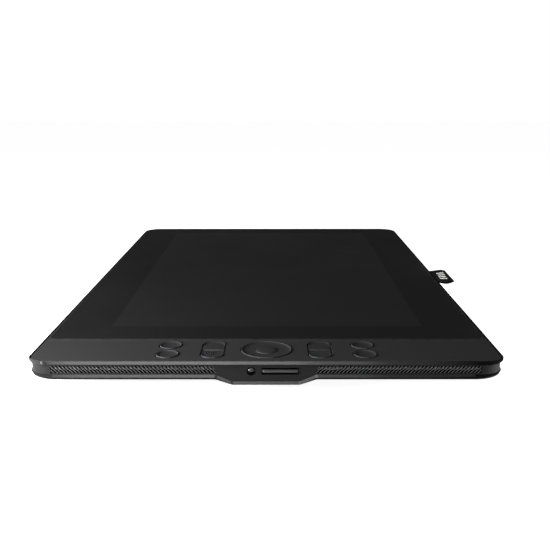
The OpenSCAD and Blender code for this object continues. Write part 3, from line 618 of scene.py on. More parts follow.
class Wiring:
    """Short ways to place and link nodes in one shader tree."""

    def __init__(self, tree: bpy.types.NodeTree) -> None:
        """Starts on a tree.

        Args:
            tree: The tree that nodes are placed in.
        """
        self.tree = tree

    def node(self, kind: str, settings: dict[str, object] | None = None,
             inputs: dict[str, object] | None = None) -> bpy.types.Node:
        """Places a node.

        Args:
            kind: The node's type.
            settings: Its properties.
            inputs: A value, or a socket to link, for each named input.

        Returns:
            The node.
        """
        made = self.tree.nodes.new(kind)
        for key, value in (settings or {}).items():
            setattr(made, key, value)
        for key, value in (inputs or {}).items():
            self.feed(made.inputs[key], value)
        return made

    def feed(self, socket: Socket, value: object) -> None:
        """Links a socket into another one, or sets a plain value."""
        if isinstance(value, Socket):
            self.tree.links.new(value, socket)
        else:
            socket.default_value = value

    def place(self) -> Socket:
        """Object coordinates, in metres."""
        return self.node("ShaderNodeTexCoord").outputs["Object"]

    def noise(self, vector: Socket, scale: Value, detail: float = 3) -> Socket:
        """Noise from 0 to 1.

        Args:
            vector: The coordinates.
            scale: Cells to the metre.
            detail: The number of finer layers.

        Returns:
            The noise's value.
        """
        inputs = {"Vector": vector, "Scale": scale, "Detail": detail}
        return self.node("ShaderNodeTexNoise", inputs=inputs).outputs["Fac"]

    def math(self, operation: str, first: Value, second: Value = 0.0) -> Socket:
        """One step of arithmetic.

        Args:
            operation: What is done.
            first: The first value or socket.
            second: The second one.

        Returns:
            The result.
        """
        made = self.node("ShaderNodeMath", {"operation": operation})
        self.feed(made.inputs[0], first)
        self.feed(made.inputs[1], second)
        return made.outputs[0]

    def spread(self, value: Socket, low: Value, high: Value,
               start: Value = 0.0, end: Value = 1.0) -> Socket:
        """Maps a value from one range to another, and holds it inside.

        Args:
            value: The value.
            low: What the start becomes.
            high: What the end becomes.
            start: The range's start.
            end: The range's end.

        Returns:
            The mapped value.
        """
        inputs = {"Value": value, "From Min": start, "From Max": end, "To Min": low, "To Max": high}
        return self.node("ShaderNodeMapRange", {"clamp": True}, inputs).outputs["Result"]

    def blend(self, factor: Value, first: Socket | Sequence[float], second: Socket | Sequence[float],
              mode: str = "MIX") -> Socket:
        """Mixes two colours.

        Args:
            factor: The share of the second one.
            first: The first colour or socket.
            second: The second one.
            mode: How they are mixed.

        Returns:
            The mixed colour.
        """
        made = self.node("ShaderNodeMix", {"data_type": "RGBA", "blend_type": mode})
        self.feed(made.inputs["Factor"], factor)
        self.feed(made.inputs["A"], first if isinstance(first, Socket) else (*first, 1))
        self.feed(made.inputs["B"], second if isinstance(second, Socket) else (*second, 1))
        return made.outputs["Result"]

    def away(self, value: Socket, low: float, high: float) -> tuple[Socket, float]:
        """Distance from the middle of a span.

        Args:
            value: The place along an axis, in metres.
            low: The span's start in millimetres.
            high: Its end.

        Returns:
            The distance, and half of the span's length, in metres.
        """
        middle, reach = (low + high) / 2 * MM, (high - low) / 2 * MM
        return self.math("ABSOLUTE", self.math("SUBTRACT", value, middle)), reach

    def axes(self, vector: Socket) -> Sockets:
        """Splits coordinates into X, Y and Z."""
        made = self.node("ShaderNodeSeparateXYZ", inputs={"Vector": vector})
        return {axis: made.outputs[axis] for axis in "XYZ"}


def make_group(name: str, inputs: dict[str, float], outputs: Sequence[str],
               wire: Callable[[Wiring, Sockets], Sockets]) -> bpy.types.NodeTree:
    """Makes a shader node group of float sockets.

    Args:
        name: The group's name.
        inputs: Each input's name and default value.
        outputs: The outputs' names.
        wire: Builds the inside from the inputs' sockets, and gives the outputs' sockets.

    Returns:
        The group.
    """
    tree = bpy.data.node_groups.new(name, "ShaderNodeTree")
    for key, value in inputs.items():
        socket = tree.interface.new_socket(key, in_out="INPUT", socket_type="NodeSocketFloat")
        socket.default_value = value
    for key in outputs:
        tree.interface.new_socket(key, in_out="OUTPUT", socket_type="NodeSocketFloat")
    wiring = Wiring(tree)
    given = wiring.node("NodeGroupInput")
    results = wire(wiring, {key: given.outputs[key] for key in inputs})
    wiring.node("NodeGroupOutput", inputs=results)
    return tree


class Effects:
    """The shader groups that the finishes use, each built once."""

    slow_scale: float = 24.0
    fine_share: float = 0.75
    fuzz_scale: float = 9000.0
    fuzz_share: float = 0.25
    brush_stretch: Triple = (0.03, 1.0, 1.0)

    def __init__(self) -> None:
        """Builds every group."""
        self.grain = make_group("fine_grain", {"Scale": Grain.PAINT.value, "Contrast": 0.3},
                                ("Tone", "Rough", "Height"), self.wire_grain)
        # Mask of the other tone and the coat: worn rounded edges, and painted highlight and sheen.
        self.wear_and_highlight = make_group("edge_wear", {"Amount": 0.5, "Scale": 260.0, "Least": 0.35}, ("Mask",),
                               self.wire_wear_and_highlight)
        self.weave = make_group("weave", {"Warp": 1300.0, "Weft": 1500.0}, ("Mask", "Height"),
                                self.wire_weave)
        self.brush = make_group("brushed", {"Scale": 900.0}, ("Rough", "Height"), self.wire_brush)

    def wire_grain(self, wiring: Wiring, given: Sockets) -> Sockets:
        """Fine grain over a slow mottle.

        Args:
            wiring: The group's tree.
            given: The group's inputs.

        Returns:
            The group's outputs.
        """
        place = wiring.place()
        fine = wiring.noise(place, given["Scale"], detail=2)
        slow = wiring.noise(place, self.slow_scale, detail=3)
        both = wiring.math("ADD", wiring.math("MULTIPLY", fine, self.fine_share),
                           wiring.math("MULTIPLY", slow, 1 - self.fine_share))
        offset = wiring.math("MULTIPLY", wiring.math("SUBTRACT", both, 0.5), given["Contrast"])
        return {"Tone": wiring.math("ADD", offset, 1.0), "Rough": slow, "Height": fine}

    def wire_wear_and_highlight(self, wiring: Wiring, given: Sockets) -> Sockets:
        """Mask of the marked faces, broken up by noise: worn rounded edges and painted highlights.

        Args:
            wiring: The group's tree.
            given: The group's inputs.

        Returns:
            The group's outputs.
        """
        edge = wiring.node("ShaderNodeAttribute", {"attribute_name": WEAR_AND_HIGHLIGHT_ATTRIBUTE}).outputs["Fac"]
        noise = wiring.noise(wiring.place(), given["Scale"], detail=4)
        broken = wiring.spread(noise, given["Least"], 1.0, *NOISE_RANGE)
        return {"Mask": wiring.math("MULTIPLY", wiring.math("MULTIPLY", edge, broken), given["Amount"])}

    def wire_weave(self, wiring: Wiring, given: Sockets) -> Sockets:
        """Threads that cross over and under each other along X and Y.

        Args:
            wiring: The group's tree.
            given: The group's inputs.

        Returns:
            The group's outputs.
        """
        axes = wiring.axes(wiring.place())
        waves = []
        for axis, threads in (("X", "Warp"), ("Y", "Weft")):
            turns = wiring.math("MULTIPLY", axes[axis], given[threads])
            waves.append(wiring.math("SINE", wiring.math("MULTIPLY", turns, math.tau)))
        over = wiring.spread(wiring.math("MULTIPLY", *waves), 0.0, 1.0, -1.0, 1.0)
        fuzz = wiring.noise(wiring.place(), self.fuzz_scale, detail=2)
        height = wiring.math("ADD", over, wiring.math("MULTIPLY", fuzz, self.fuzz_share))
        return {"Mask": over, "Height": height}

    def wire_brush(self, wiring: Wiring, given: Sockets) -> Sockets:
        """Fine lines along X.

        Args:
            wiring: The group's tree.
            given: The group's inputs.

        Returns:
            The group's outputs.
        """
        stretched = {"Vector": wiring.place(), "Scale": self.brush_stretch}
        drawn = wiring.node("ShaderNodeMapping", inputs=stretched)
        lines = wiring.noise(drawn.outputs["Vector"], given["Scale"], detail=5)
        return {"Rough": lines, "Height": lines}


# Finishes


@dataclass(frozen=True)
class Finish:
    """A surface with fine grain, and with another tone and a coat on its marked faces, which stand for wear
    on rounded edges and are a painted highlight and sheen on the faces that a piece marks for it.
    """

    name: str
    colour: Colour
    roughness: Flat = (0.4, 0.55)
    specular: float = 0.4
    metallic: float = 0.0
    grain: Grain = Grain.MOULDED
    contrast: float = 0.3
    relief: float = 0.02
    bump: float = 0.6
    # The other tone on marked faces, and the coat there: wear on rounded edges, painted highlight and sheen
    # on the faces marked for them.
    wear_and_highlight: float = 0.25
    wear_and_highlight_colour: Colour = (0.2, 0.2, 0.21)
    wear_and_highlight_least: float = 0.35
    coat: float = 0.0
    coat_roughness: float = 0.14
    coat_index: float = 1.6

    def surface(self, wiring: Wiring, effects: Effects) -> Sockets:
        """Wires what varies over the surface.

        Args:
            wiring: The material's tree.
            effects: The shared groups.

        Returns:
            The sockets by what they feed: colour, rough, height and, where there is one, coat.
        """
        grain = wiring.node("ShaderNodeGroup", {"node_tree": effects.grain},
                            {"Scale": self.grain.value, "Contrast": self.contrast})
        wear_and_highlight = wiring.node("ShaderNodeGroup", {"node_tree": effects.wear_and_highlight},
                           {"Amount": self.wear_and_highlight, "Least": self.wear_and_highlight_least})
        toned = wiring.blend(1.0, self.colour, grain.outputs["Tone"], "MULTIPLY")
        return {
            # Marked faces take the other tone and the coat: wear on rounded edges, painted highlight and
            # sheen elsewhere.
            "colour": wiring.blend(wear_and_highlight.outputs["Mask"], toned, self.wear_and_highlight_colour),
            "rough": wiring.spread(grain.outputs["Rough"], *self.roughness, *NOISE_RANGE),
            "height": grain.outputs["Height"],
            "coat": wiring.math("MULTIPLY", wear_and_highlight.outputs["Mask"], self.coat),
        }

    def set_constants(self, shader: bpy.types.Node) -> None:
        """Sets what is the same all over."""
        shader.inputs["Metallic"].default_value = self.metallic
        shader.inputs["Specular IOR Level"].default_value = self.specular
        shader.inputs["Coat Roughness"].default_value = self.coat_roughness
        shader.inputs["Coat IOR"].default_value = self.coat_index

    def build(self, effects: Effects) -> bpy.types.Material:
        """Makes the material.

        Args:
            effects: The shared groups.

        Returns:
            The material.
        """
        material = bpy.data.materials.new(self.name)
        material.use_nodes = True
        wiring = Wiring(material.node_tree)
        shader = material.node_tree.nodes["Principled BSDF"]
        parts = self.surface(wiring, effects)
        bump = wiring.node("ShaderNodeBump", inputs={"Strength": self.bump, "Distance": self.relief * MM,
                                                     "Height": parts["height"]})
        wiring.feed(shader.inputs["Base Color"], parts["colour"])
        wiring.feed(shader.inputs["Roughness"], parts["rough"])
        wiring.feed(shader.inputs["Normal"], bump.outputs["Normal"])
        if self.coat:
            wiring.feed(shader.inputs["Coat Weight"], parts["coat"])
        self.set_constants(shader)
        return material


@dataclass(frozen=True)
class EtchedGlass(Finish):
    """Etched cover glass, black behind its border and a little lighter over the picture area."""

    window: Colour = (0.0175, 0.0175, 0.018)
    window_low: Flat = (-95.5, -144.5)
    window_high: Flat = (95.5, 181.5)
    window_edge: float = 0.35

    def surface(self, wiring: Wiring, effects: Effects) -> Sockets:
        """Adds the picture area to the plain surface.

        Args:
            wiring: The material's tree.
            effects: The shared groups.

        Returns:
            The sockets by what they feed: colour, rough, height and, where there is one, coat.
        """
        parts = super().surface(wiring, effects)
        axes = wiring.axes(wiring.place())
        mask: Value = 1.0
        for axis, low, high in zip("XY", self.window_low, self.window_high, strict=True):
            away, reach = wiring.away(axes[axis], low, high)
            inside = wiring.spread(away, 1.0, 0.0, reach - self.window_edge * MM, reach)
            mask = wiring.math("MULTIPLY", inside, mask)
        parts["colour"] = wiring.blend(mask, parts["colour"], self.window)
        return parts


@dataclass(frozen=True)
class WovenTape(Finish):
    """Black woven tape with a few plain bars in a light thread."""

    roughness: Flat = (0.75, 0.95)
    thread: Colour = (0.85, 0.85, 0.84)
    # Tone where the weave lies low: painted shade in its dips.
    under_tape: float = 0.45
    under_thread: float = 0.6
    bars_x: Flat = (137.5, 143.5)
    bars_y: Flat = (2.0, 20.0)
    bar_pitch: float = 4.9
    bar_share: float = 0.55

    def surface(self, wiring: Wiring, effects: Effects) -> Sockets:
        """Wires the weave and its bars.

        Args:
            wiring: The material's tree.
            effects: The shared groups.

        Returns:
            The sockets by what they feed: colour, rough, height and, where there is one, coat.
        """
        weave = wiring.node("ShaderNodeGroup", {"node_tree": effects.weave})
        axes = wiring.axes(wiring.place())
        over = weave.outputs["Mask"]
        # Darker where the weave lies low: painted shade in its dips.
        dark = wiring.blend(over, [c * self.under_tape for c in self.colour], self.colour)
        light = wiring.blend(over, [c * self.under_thread for c in self.thread], self.thread)
        mask: Value = 1.0
        for axis, span in zip("XY", (self.bars_x, self.bars_y), strict=True):
            away, reach = wiring.away(axes[axis], *span)
            mask = wiring.math("MULTIPLY", wiring.math("LESS_THAN", away, reach), mask)
        step = wiring.math("MULTIPLY", wiring.math("SUBTRACT", axes["Y"], self.bars_y[0] * MM),
                           1 / (self.bar_pitch * MM))
        bar = wiring.math("LESS_THAN", wiring.math("FRACT", step), self.bar_share)
        return {
            "colour": wiring.blend(wiring.math("MULTIPLY", mask, bar), dark, light),
            "rough": wiring.spread(over, *self.roughness),
            "height": weave.outputs["Height"],
        }


@dataclass(frozen=True)
class BrushedMetal(Finish):
    """Metal with fine lines along X."""

    metallic: float = 1.0
    line_scale: float = 900.0
    line_tone: float = 0.75

    def surface(self, wiring: Wiring, effects: Effects) -> Sockets:
        """Wires the lines.

        Args:
            wiring: The material's tree.
            effects: The shared groups.

        Returns:
            The sockets by what they feed: colour, rough, height and, where there is one, coat.
        """
        brush = wiring.node("ShaderNodeGroup", {"node_tree": effects.brush}, {"Scale": self.line_scale})
        dull = [c * self.line_tone for c in self.colour]
        return {
            "colour": wiring.blend(brush.outputs["Rough"], dull, self.colour),
            "rough": wiring.spread(brush.outputs["Rough"], *self.roughness, *NOISE_RANGE),
            "height": brush.outputs["Height"],
        }


@dataclass(frozen=True)
class CircuitBoard(Finish):
    """Solder mask with copper tracks under it."""

    track: Colour = (0.06, 0.2, 0.1)
    track_scale: float = 160.0
    track_width: float = 0.05

    def surface(self, wiring: Wiring, effects: Effects) -> Sockets:
        """Adds tracks to the plain surface.

        Args:
            wiring: The material's tree.
            effects: The shared groups.

        Returns:
            The sockets by what they feed: colour, rough, height and, where there is one, coat.
        """
        parts = super().surface(wiring, effects)
        cells = wiring.node("ShaderNodeTexVoronoi", {"feature": "DISTANCE_TO_EDGE"},
                            {"Vector": wiring.place(), "Scale": self.track_scale})
        track = wiring.math("LESS_THAN", cells.outputs["Distance"], self.track_width)
        parts["colour"] = wiring.blend(track, parts["colour"], self.track)
        return parts


FINISHES = (
    # Key strip: its marked faces take a lighter tone, a painted highlight.
    Finish("frame_paint", (0.035, 0.035, 0.036), (0.5, 0.6), 0.0001, grain=Grain.PAINT, wear_and_highlight=0.3),
    # Rim and lip: near black, with a lighter tone and a coat on their marked near run, a painted sheen there
    # against painted shade on the rest.
    Finish("rim_paint", (0.005, 0.005, 0.0052), (0.4, 0.5), 0.0, grain=Grain.PAINT, wear_and_highlight=1.0,
           wear_and_highlight_colour=(0.012, 0.012, 0.0122), wear_and_highlight_least=0.9, coat=0.29),
    Finish("lip_paint", (0.005, 0.005, 0.0052), (0.4, 0.5), 0.0, grain=Grain.PAINT, wear_and_highlight=1.0,
           wear_and_highlight_colour=(0.012, 0.012, 0.0122), wear_and_highlight_least=0.9, coat=0.23),
    EtchedGlass("cover_glass", (0.0125, 0.0125, 0.013), (0.5, 0.58), 0.0008, grain=Grain.GLASS, contrast=0.15,
                relief=0.004, wear_and_highlight=0.15),
    Finish("band_plastic", (0.018, 0.018, 0.0185), (0.45, 0.55), 0.03, wear_and_highlight=0.2),
    Finish("cover_plastic", (0.009, 0.009, 0.0095), (0.5, 0.62), 0.02, grain=Grain.COARSE, relief=0.05,
           wear_and_highlight=0.05),
    # Vents: near black, which paints the shade between the slats; the marked slat fronts take a lighter tone
    # and a coat, a painted highlight.
    Finish("vent_plastic", (0.002, 0.002, 0.0021), (0.4, 0.5), 0.0, wear_and_highlight=1.0, wear_and_highlight_colour=(0.05, 0.05, 0.051),
           wear_and_highlight_least=0.85, coat=0.5),
    # Keys and ring: their marked steep walls and rims take a lighter tone, a painted highlight.
    Finish("key_plastic", (0.032, 0.032, 0.033), (0.5, 0.6), 0.0001, wear_and_highlight=0.32),
    # Side buttons: near black, which paints the shade on their lower faces; the marked upper faces take a
    # lighter tone and a coat, a painted highlight.
    Finish("button_plastic", (0.003, 0.003, 0.0031), (0.2, 0.26), 0.0, wear_and_highlight=1.0,
           wear_and_highlight_colour=(0.06, 0.06, 0.061), wear_and_highlight_least=0.85, coat=0.3),
    WovenTape("tag_cloth", (0.004, 0.004, 0.004), specular=0.02, relief=0.12),
    Finish("foot_rubber", (0.016, 0.016, 0.016), (0.7, 0.85), 0.25, grain=Grain.COARSE, relief=0.04),
    Finish("mat_rubber", (0.2, 0.2, 0.21), (0.7, 0.85), 0.25, grain=Grain.COARSE),
    Finish("gasket_foam", (0.015, 0.015, 0.015), (0.8, 0.95), 0.2, grain=Grain.COARSE, relief=0.1),
    Finish("clear_bond", (0.3, 0.3, 0.32), (0.1, 0.16), 0.5),
    Finish("panel_film", (0.02, 0.02, 0.023), (0.15, 0.22), 0.5),
    Finish("switch_plastic", (0.45, 0.45, 0.45), (0.4, 0.5), 0.4),
    Finish("light_pipe", (0.016, 0.016, 0.017), (0.4, 0.5), 0.1),
    Finish("chip_plastic", (0.03, 0.03, 0.03), (0.5, 0.6), 0.35),
    Finish("fan_plastic", (0.03, 0.03, 0.033), (0.45, 0.55), 0.35),
    Finish("battery_wrap", (0.04, 0.04, 0.05), (0.35, 0.5), 0.4),
    Finish("ribbon_film", (0.35, 0.17, 0.04), (0.3, 0.4), 0.45),
    Finish("anchor_plastic", (0.09, 0.09, 0.09), (0.5, 0.6), 0.35),
    CircuitBoard("circuit_board", (0.02, 0.1, 0.05), (0.35, 0.45), 0.45),
    BrushedMetal("chassis_metal", (0.5, 0.5, 0.52), (0.38, 0.52)),
    BrushedMetal("copper", (0.62, 0.32, 0.19), (0.28, 0.4)),
    # Fins near black, which paints the shade deep inside the vents.
    BrushedMetal("fin_metal", (0.03, 0.03, 0.032), (0.4, 0.5)),
    BrushedMetal("socket_steel", (0.58, 0.58, 0.6), (0.25, 0.36)),
    BrushedMetal("screw_steel", (0.18, 0.18, 0.19), (0.32, 0.45)),
)


class Palette:
    """The materials of all slots."""

    def __init__(self) -> None:
        """Builds the shared groups and every finish."""
        effects = Effects()
        self.materials = {finish.name: finish.build(effects) for finish in FINISHES}

    def __getitem__(self, slot: str) -> bpy.types.Material:
        """Material of a slot."""
        return self.materials[slot]

    def dress_nodes(self) -> None:
        """Gives each CAD node the material of its slot."""
        for part in frame["record"]["subparts"]:
            mesh = frame["nodes"][part["node"]].data
            mesh.materials.clear()
            mesh.materials.append(self[part["material_slot"]])


# Sub-assemblies


@dataclass
class Dip:
    """The step down of lip, band and cover in the middle of the near edge."""

    half: float = 27.2
    floor_half: float = 18.3
    depth: float = 3.9
    ease: float = 0.1
    steps: int = 9

    def share(self, x: float) -> float:
        """How far down the dip is, from 0 outside it to 1 on its floor."""
        return eased((self.half - abs(x)) / (self.half - self.floor_half), self.ease)

    def drop(self, x: float) -> float:
        """Depth of the dip at a place along the edge."""
        return self.depth * self.share(x)

    def places(self) -> list[float]:
        """Places along the edge where the dip bends.

        Returns:
            The places from left to right.
        """
        reach = self.ease * (self.half - self.floor_half)
        shares = [2 * i / (self.steps - 1) - 1 for i in range(self.steps)]
        right = [bend + reach * share for bend in (self.floor_half, self.half) for share in shares]
        return [-x for x in reversed(right)] + right


@dataclass
class KeyField:
    """Sizes that the keys share with the strip around them."""

    flange: float = 0.8
    strip_depth: float = 1.6
    proud: float = 0.5
    gap: float = 0.75
    dish: float = 1.0
    bowl: float = 12.0
    rim: float = 0.35
    steep: float = 0.85
    pill_half: Flat = (6.1, 13.9)
    pill_radius: float = 5.4
    split: float = 0.4
    ring_fit: float = 0.6

    def __post_init__(self) -> None:
        """Takes the levels from the frame's top."""
        self.top = node_box("top_bezel").high.z
        self.shoulder = self.top - self.strip_depth
        self.under = self.shoulder - self.flange

    @staticmethod
    def name(kind: str, side: Side, row: Row) -> str:
        """Name of a key's node."""
        return f"key_{kind}_{side.name.lower()}_{row.name.lower()}"

    def round_place(self, side: Side, row: Row) -> tuple[Flat, float]:
        """Where a round key is.

        Args:
            side: Left or right pair.
            row: Near or far key of it.

        Returns:
            The key's middle and its cap's radius.
        """
        box = node_box(self.name("round", side, row))
        return (box.centre.x, box.centre.y), box.half.x - self.flange

    def pill_place(self, side: Side) -> Flat:
        """Middle of a pair of split keys.

        Args:
            side: Left or right pair.

        Returns:
            The middle.
        """
        near = node_box(self.name("split", side, Row.NEAR))
        far = node_box(self.name("split", side, Row.FAR))
        return near.centre.x, (near.centre.y + far.centre.y) / 2

    def pill_end(self, x: float) -> float:
        """How far a pair of split keys reaches along Y, at a place across it."""
        half_x, half_l = self.pill_half
        across = max(0.0, abs(x) - half_x + self.pill_radius)
        return half_l - self.pill_radius + math.sqrt(max(0.0, self.pill_radius ** 2 - across ** 2))

    def ring_place(self) -> tuple[Flat, float]:
        """Middle and outer radius of the touch ring's face.

        Returns:
            The middle and the radius.
        """
        box = node_box("touch_ring")
        return (box.centre.x, box.centre.y), box.half.x - self.flange


def bowl_height(share: float, depth: float, power: float, wall: float = 0.6) -> float:
    """Height of a bowl over its lowest point.

    Args:
        share: Place as a share of the bowl's reach.
        depth: The bowl's depth.
        power: How steep the wall at its edge is.
        wall: The wall's share of the depth.

    Returns:
        The height.
    """
    away = min(1.0, abs(share))
    return depth * ((1 - wall) * away ** 2 + wall * away ** power)


@dataclass
class GlassPlace:
    """Outline of the glass, with the gap round it."""

    inset: float = 1.35
    near_radius: float = 4.0
    far_radius: float = 12.3
    gap: float = 0.35

    def __post_init__(self) -> None:
        """Draws the node's outline in at both sides and at the far edge."""
        self.box = node_box("cover_glass")
        self.half = (self.box.half.x - self.inset, self.box.half.y - self.inset / 2)
        self.centre = (self.box.centre.x, self.box.centre.y - self.inset / 2)

    def draw(self, bm: BMesh, grow: float, z: float) -> list[BMEdge]:
        """Draws the outline.

        Args:
            bm: The mesh that is drawn in.
            grow: How far outside the glass.
            z: The level.

        Returns:
            The outline's edges.
        """
        half = [reach + grow for reach in self.half]
        return rounded_outline(bm, self.centre, half, (self.near_radius + grow, self.far_radius + grow), z)


@dataclass
class TopFrame:
    """Painted frame round the glass, with the key strip at its near end."""

    paint: bpy.types.Material
    rim_paint: bpy.types.Material
    keys: KeyField
    glass: GlassPlace
    near_radius: float = 11.0
    wall_radius: float = 16.0
    corner_cuts: int = 5
    bevel: float = 1.9
    crest_drop: float = 0.3
    rim: float = 2.2
    rim_fall: float = 0.6
    undercut: float = 1.0
    tuck: float = 4.6
    seam: float = 0.3
    edge: float = 0.14
    seam_highlight_width: float = 1.4
    painted_sheen_turn: float = -0.3
    ring_steps: int = 96

    def build(self) -> None:
        """Builds the rim and the strip."""
        self.box = node_box("top_bezel")
        self.build_rim()
        self.build_strip()

    def build_rim(self) -> None:
        """Sweeps the rim with its bevel round the tablet."""
        top, under, floor = self.box.high.z, self.box.low.z, self.keys.shoulder
        crest, foot = top - self.crest_drop, top - self.bevel
        profile = [(self.tuck, floor), (self.rim, floor), (self.rim, top - self.rim_fall),
                   (crest - foot, crest), (0, foot), (self.undercut, foot), (self.undercut, under),
                   (self.tuck, under)]
        bm = bmesh.new()
        sweep_round(bm, profile, self.box.half.xy, (self.near_radius, self.wall_radius))
        tidy(bm)
        soften(bm, sharp_edges(bm, Turn.GENTLE), self.edge)
        self.round_near_corners(bm)
        # Paints a sheen on the rim's near run, its left corner and the turn of its right one.
        mark_painted_sheen(bm, self.box.half, self.wall_radius, self.painted_sheen_turn)
        make_piece("top_rim", bm, self.rim_paint, replaced=["top_bezel"])

    def round_near_corners(self, bm: BMesh) -> None:
        """Draws in what stands out beyond the outer wall at the near corners.

        Args:
            bm: The rim's mesh.
        """
        reach = self.box.half.xy - Vector((self.wall_radius, self.wall_radius))
        extra = self.wall_radius - self.near_radius
        steps = [extra * i / self.corner_cuts for i in range(self.corner_cuts)]
        cut_at(bm, [side.value * (reach.x + step) for side in Side for step in steps], X_AXIS)
        cut_at(bm, [-reach.y - step for step in steps], Y_AXIS)
        for vert in bm.verts:
            corner_x = math.copysign(self.box.half.x - self.wall_radius, vert.co.x)
            away = vert.co.xy - Vector((corner_x, self.box.low.y + self.wall_radius))
            if away.x * corner_x > 0 > away.y and away.length > self.wall_radius:
                vert.co.xy -= away * (1 - self.wall_radius / away.length)

    def build_strip(self) -> None:
        """Builds the frame's face with the openings of the glass, the keys and the ring."""
        bm = bmesh.new()
        keys, glass = self.keys, self.glass
        z = keys.top - keys.proud
        inset = self.rim + self.seam
        outer = self.box.half.xy - Vector((inset, inset))
        edges = rounded_outline(bm, (0, 0), outer, (self.near_radius - inset, self.wall_radius - inset), z)
        edges += glass.draw(bm, glass.gap, z)
        half = [reach + keys.gap for reach in keys.pill_half]
        pill_radius = keys.pill_radius + keys.gap
        for side in Side:
            for row in Row:
                centre, radius = keys.round_place(side, row)
                edges += circle_outline(bm, centre, radius + keys.gap, z)
            edges += rounded_outline(bm, keys.pill_place(side), half, (pill_radius, pill_radius), z)
        centre, radius = keys.ring_place()
        edges += circle_outline(bm, centre, radius + keys.ring_fit, z, self.ring_steps)
        thicken(bm, fill(bm, edges), Vector((0, 0, keys.shoulder - z)))
        tidy(bm)
        soften(bm, sharp_edges(bm, where=lambda place: place.z > z - SAME_PLACE), self.edge)
        # The walls of the openings and a band along the glass seam take the lighter tone: a painted
        # highlight.
        near = glass.box.low.y
        line = near - glass.gap - self.seam_highlight_width
        cut_at(bm, [line, near], Y_AXIS)
        mark_painted_highlight(bm, lambda face: face.normal.z < LEVEL or line < face.calc_center_median().y < near)
        make_piece("key_strip", bm, self.paint)


@dataclass
class CoverGlass:
    """The glass over the display."""

    finish: bpy.types.Material
    place: GlassPlace
    edge: float = 0.3

    def build(self) -> None:
        """Builds the glass with its rounded edge."""
        box = self.place.box
        bm = bmesh.new()
        edges = self.place.draw(bm, 0, box.high.z)
        thicken(bm, fill(bm, edges), Vector((0, 0, -2 * box.half.z)))
        tidy(bm)
        soften(bm, sharp_edges(bm), self.edge, FINE_STEPS)
        make_piece("glass_sheet", bm, self.finish, replaced=["cover_glass"])


@dataclass
class Vent:
    """A grille of slanted slats in the near wall."""

    finish: bpy.types.Material
    side: Side
    lean: float = 4.3
    pitch: float = 2.03
    slat: float = 0.72
    frame: float = 0.25
    edge: float = 0.12

    def __post_init__(self) -> None:
        """Takes the grille's place from its node."""
        self.node = f"vent_{self.side.name.lower()}"
        self.box = node_box(self.node)
        self.length = 2 * (self.box.half.x - self.frame)
        self.half_height = self.box.half.z - self.frame

    def outline(self, bm: BMesh, grow: float) -> list[BMEdge]:
        """Draws the opening as on the right-hand side, from its inner end at X 0.

        Args:
            bm: The mesh that is drawn in.
            grow: How much wider the outline is.

        Returns:
            The outline's edges.
        """
        low, high = -self.half_height - grow, self.half_height + grow
        pen = Pen(bm, (-grow, low, 0)).line((self.length + grow, low, 0), (self.length + grow, high, 0))
        return pen.line((self.lean / 2 - grow, high, 0)).close()

    def to_wall(self) -> Matrix:
        """Matrix from the drawing, mirrored for the left side, to the near wall.

        Returns:
            The matrix, in the wall's X and Z.
        """
        inner = self.box.centre.x - self.side.value * self.length / 2
        mirrored = Matrix.Diagonal((self.side.value, 1, 1, 1))
        return Matrix.Translation((inner, self.box.centre.z, 0)) @ mirrored

    def build(self) -> None:
        """Builds the slats and the frame around them."""
        depth = 2 * self.box.half.y
        bm = bmesh.new()
        with placed(bm, upright(self.box.low.y) @ self.to_wall()):
            self.add_slats(bm, depth)
            tidy(bm)
            soften(bm, sharp_edges(bm, where=lambda place: place.z > -SAME_PLACE), self.edge)
            # The slat fronts take the lighter tone and the coat: a painted highlight.
            mark_painted_highlight(bm, lambda face: face.normal.z > FACING)
            edges = self.outline(bm, self.frame) + self.outline(bm, 0)
            thicken(bm, fill(bm, edges), Vector((0, 0, -depth)))
        name = f"grille_{self.side.name.lower()}"
        make_piece(name, bm, self.finish, replaced=[self.node])

    def add_slats(self, bm: BMesh, depth: float) -> None:
        """Adds the slats, cut off at both ends of the opening.

        Args:
            bm: The mesh that is drawn in.
            depth: How deep the slats go in.
        """
        reach = self.half_height + self.frame / 2
        for i in range(math.ceil((self.length + self.lean) / self.pitch)):
            x = i * self.pitch - self.lean / 2
            pen = Pen(bm, (x, -reach, 0)).line((x + self.slat, -reach, 0))
            pen.line((x + self.slat + self.lean, reach, 0), (x + self.lean, reach, 0))
            thicken(bm, fill(bm, pen.close()), Vector((0, 0, -depth)))
        slant = Vector((2 * self.half_height, -self.lean / 2, 0)).normalized()
        trim(bm, Vector((self.length, 0, 0)), X_AXIS)
        trim(bm, Vector((self.lean / 4, 0, 0)), -slant)


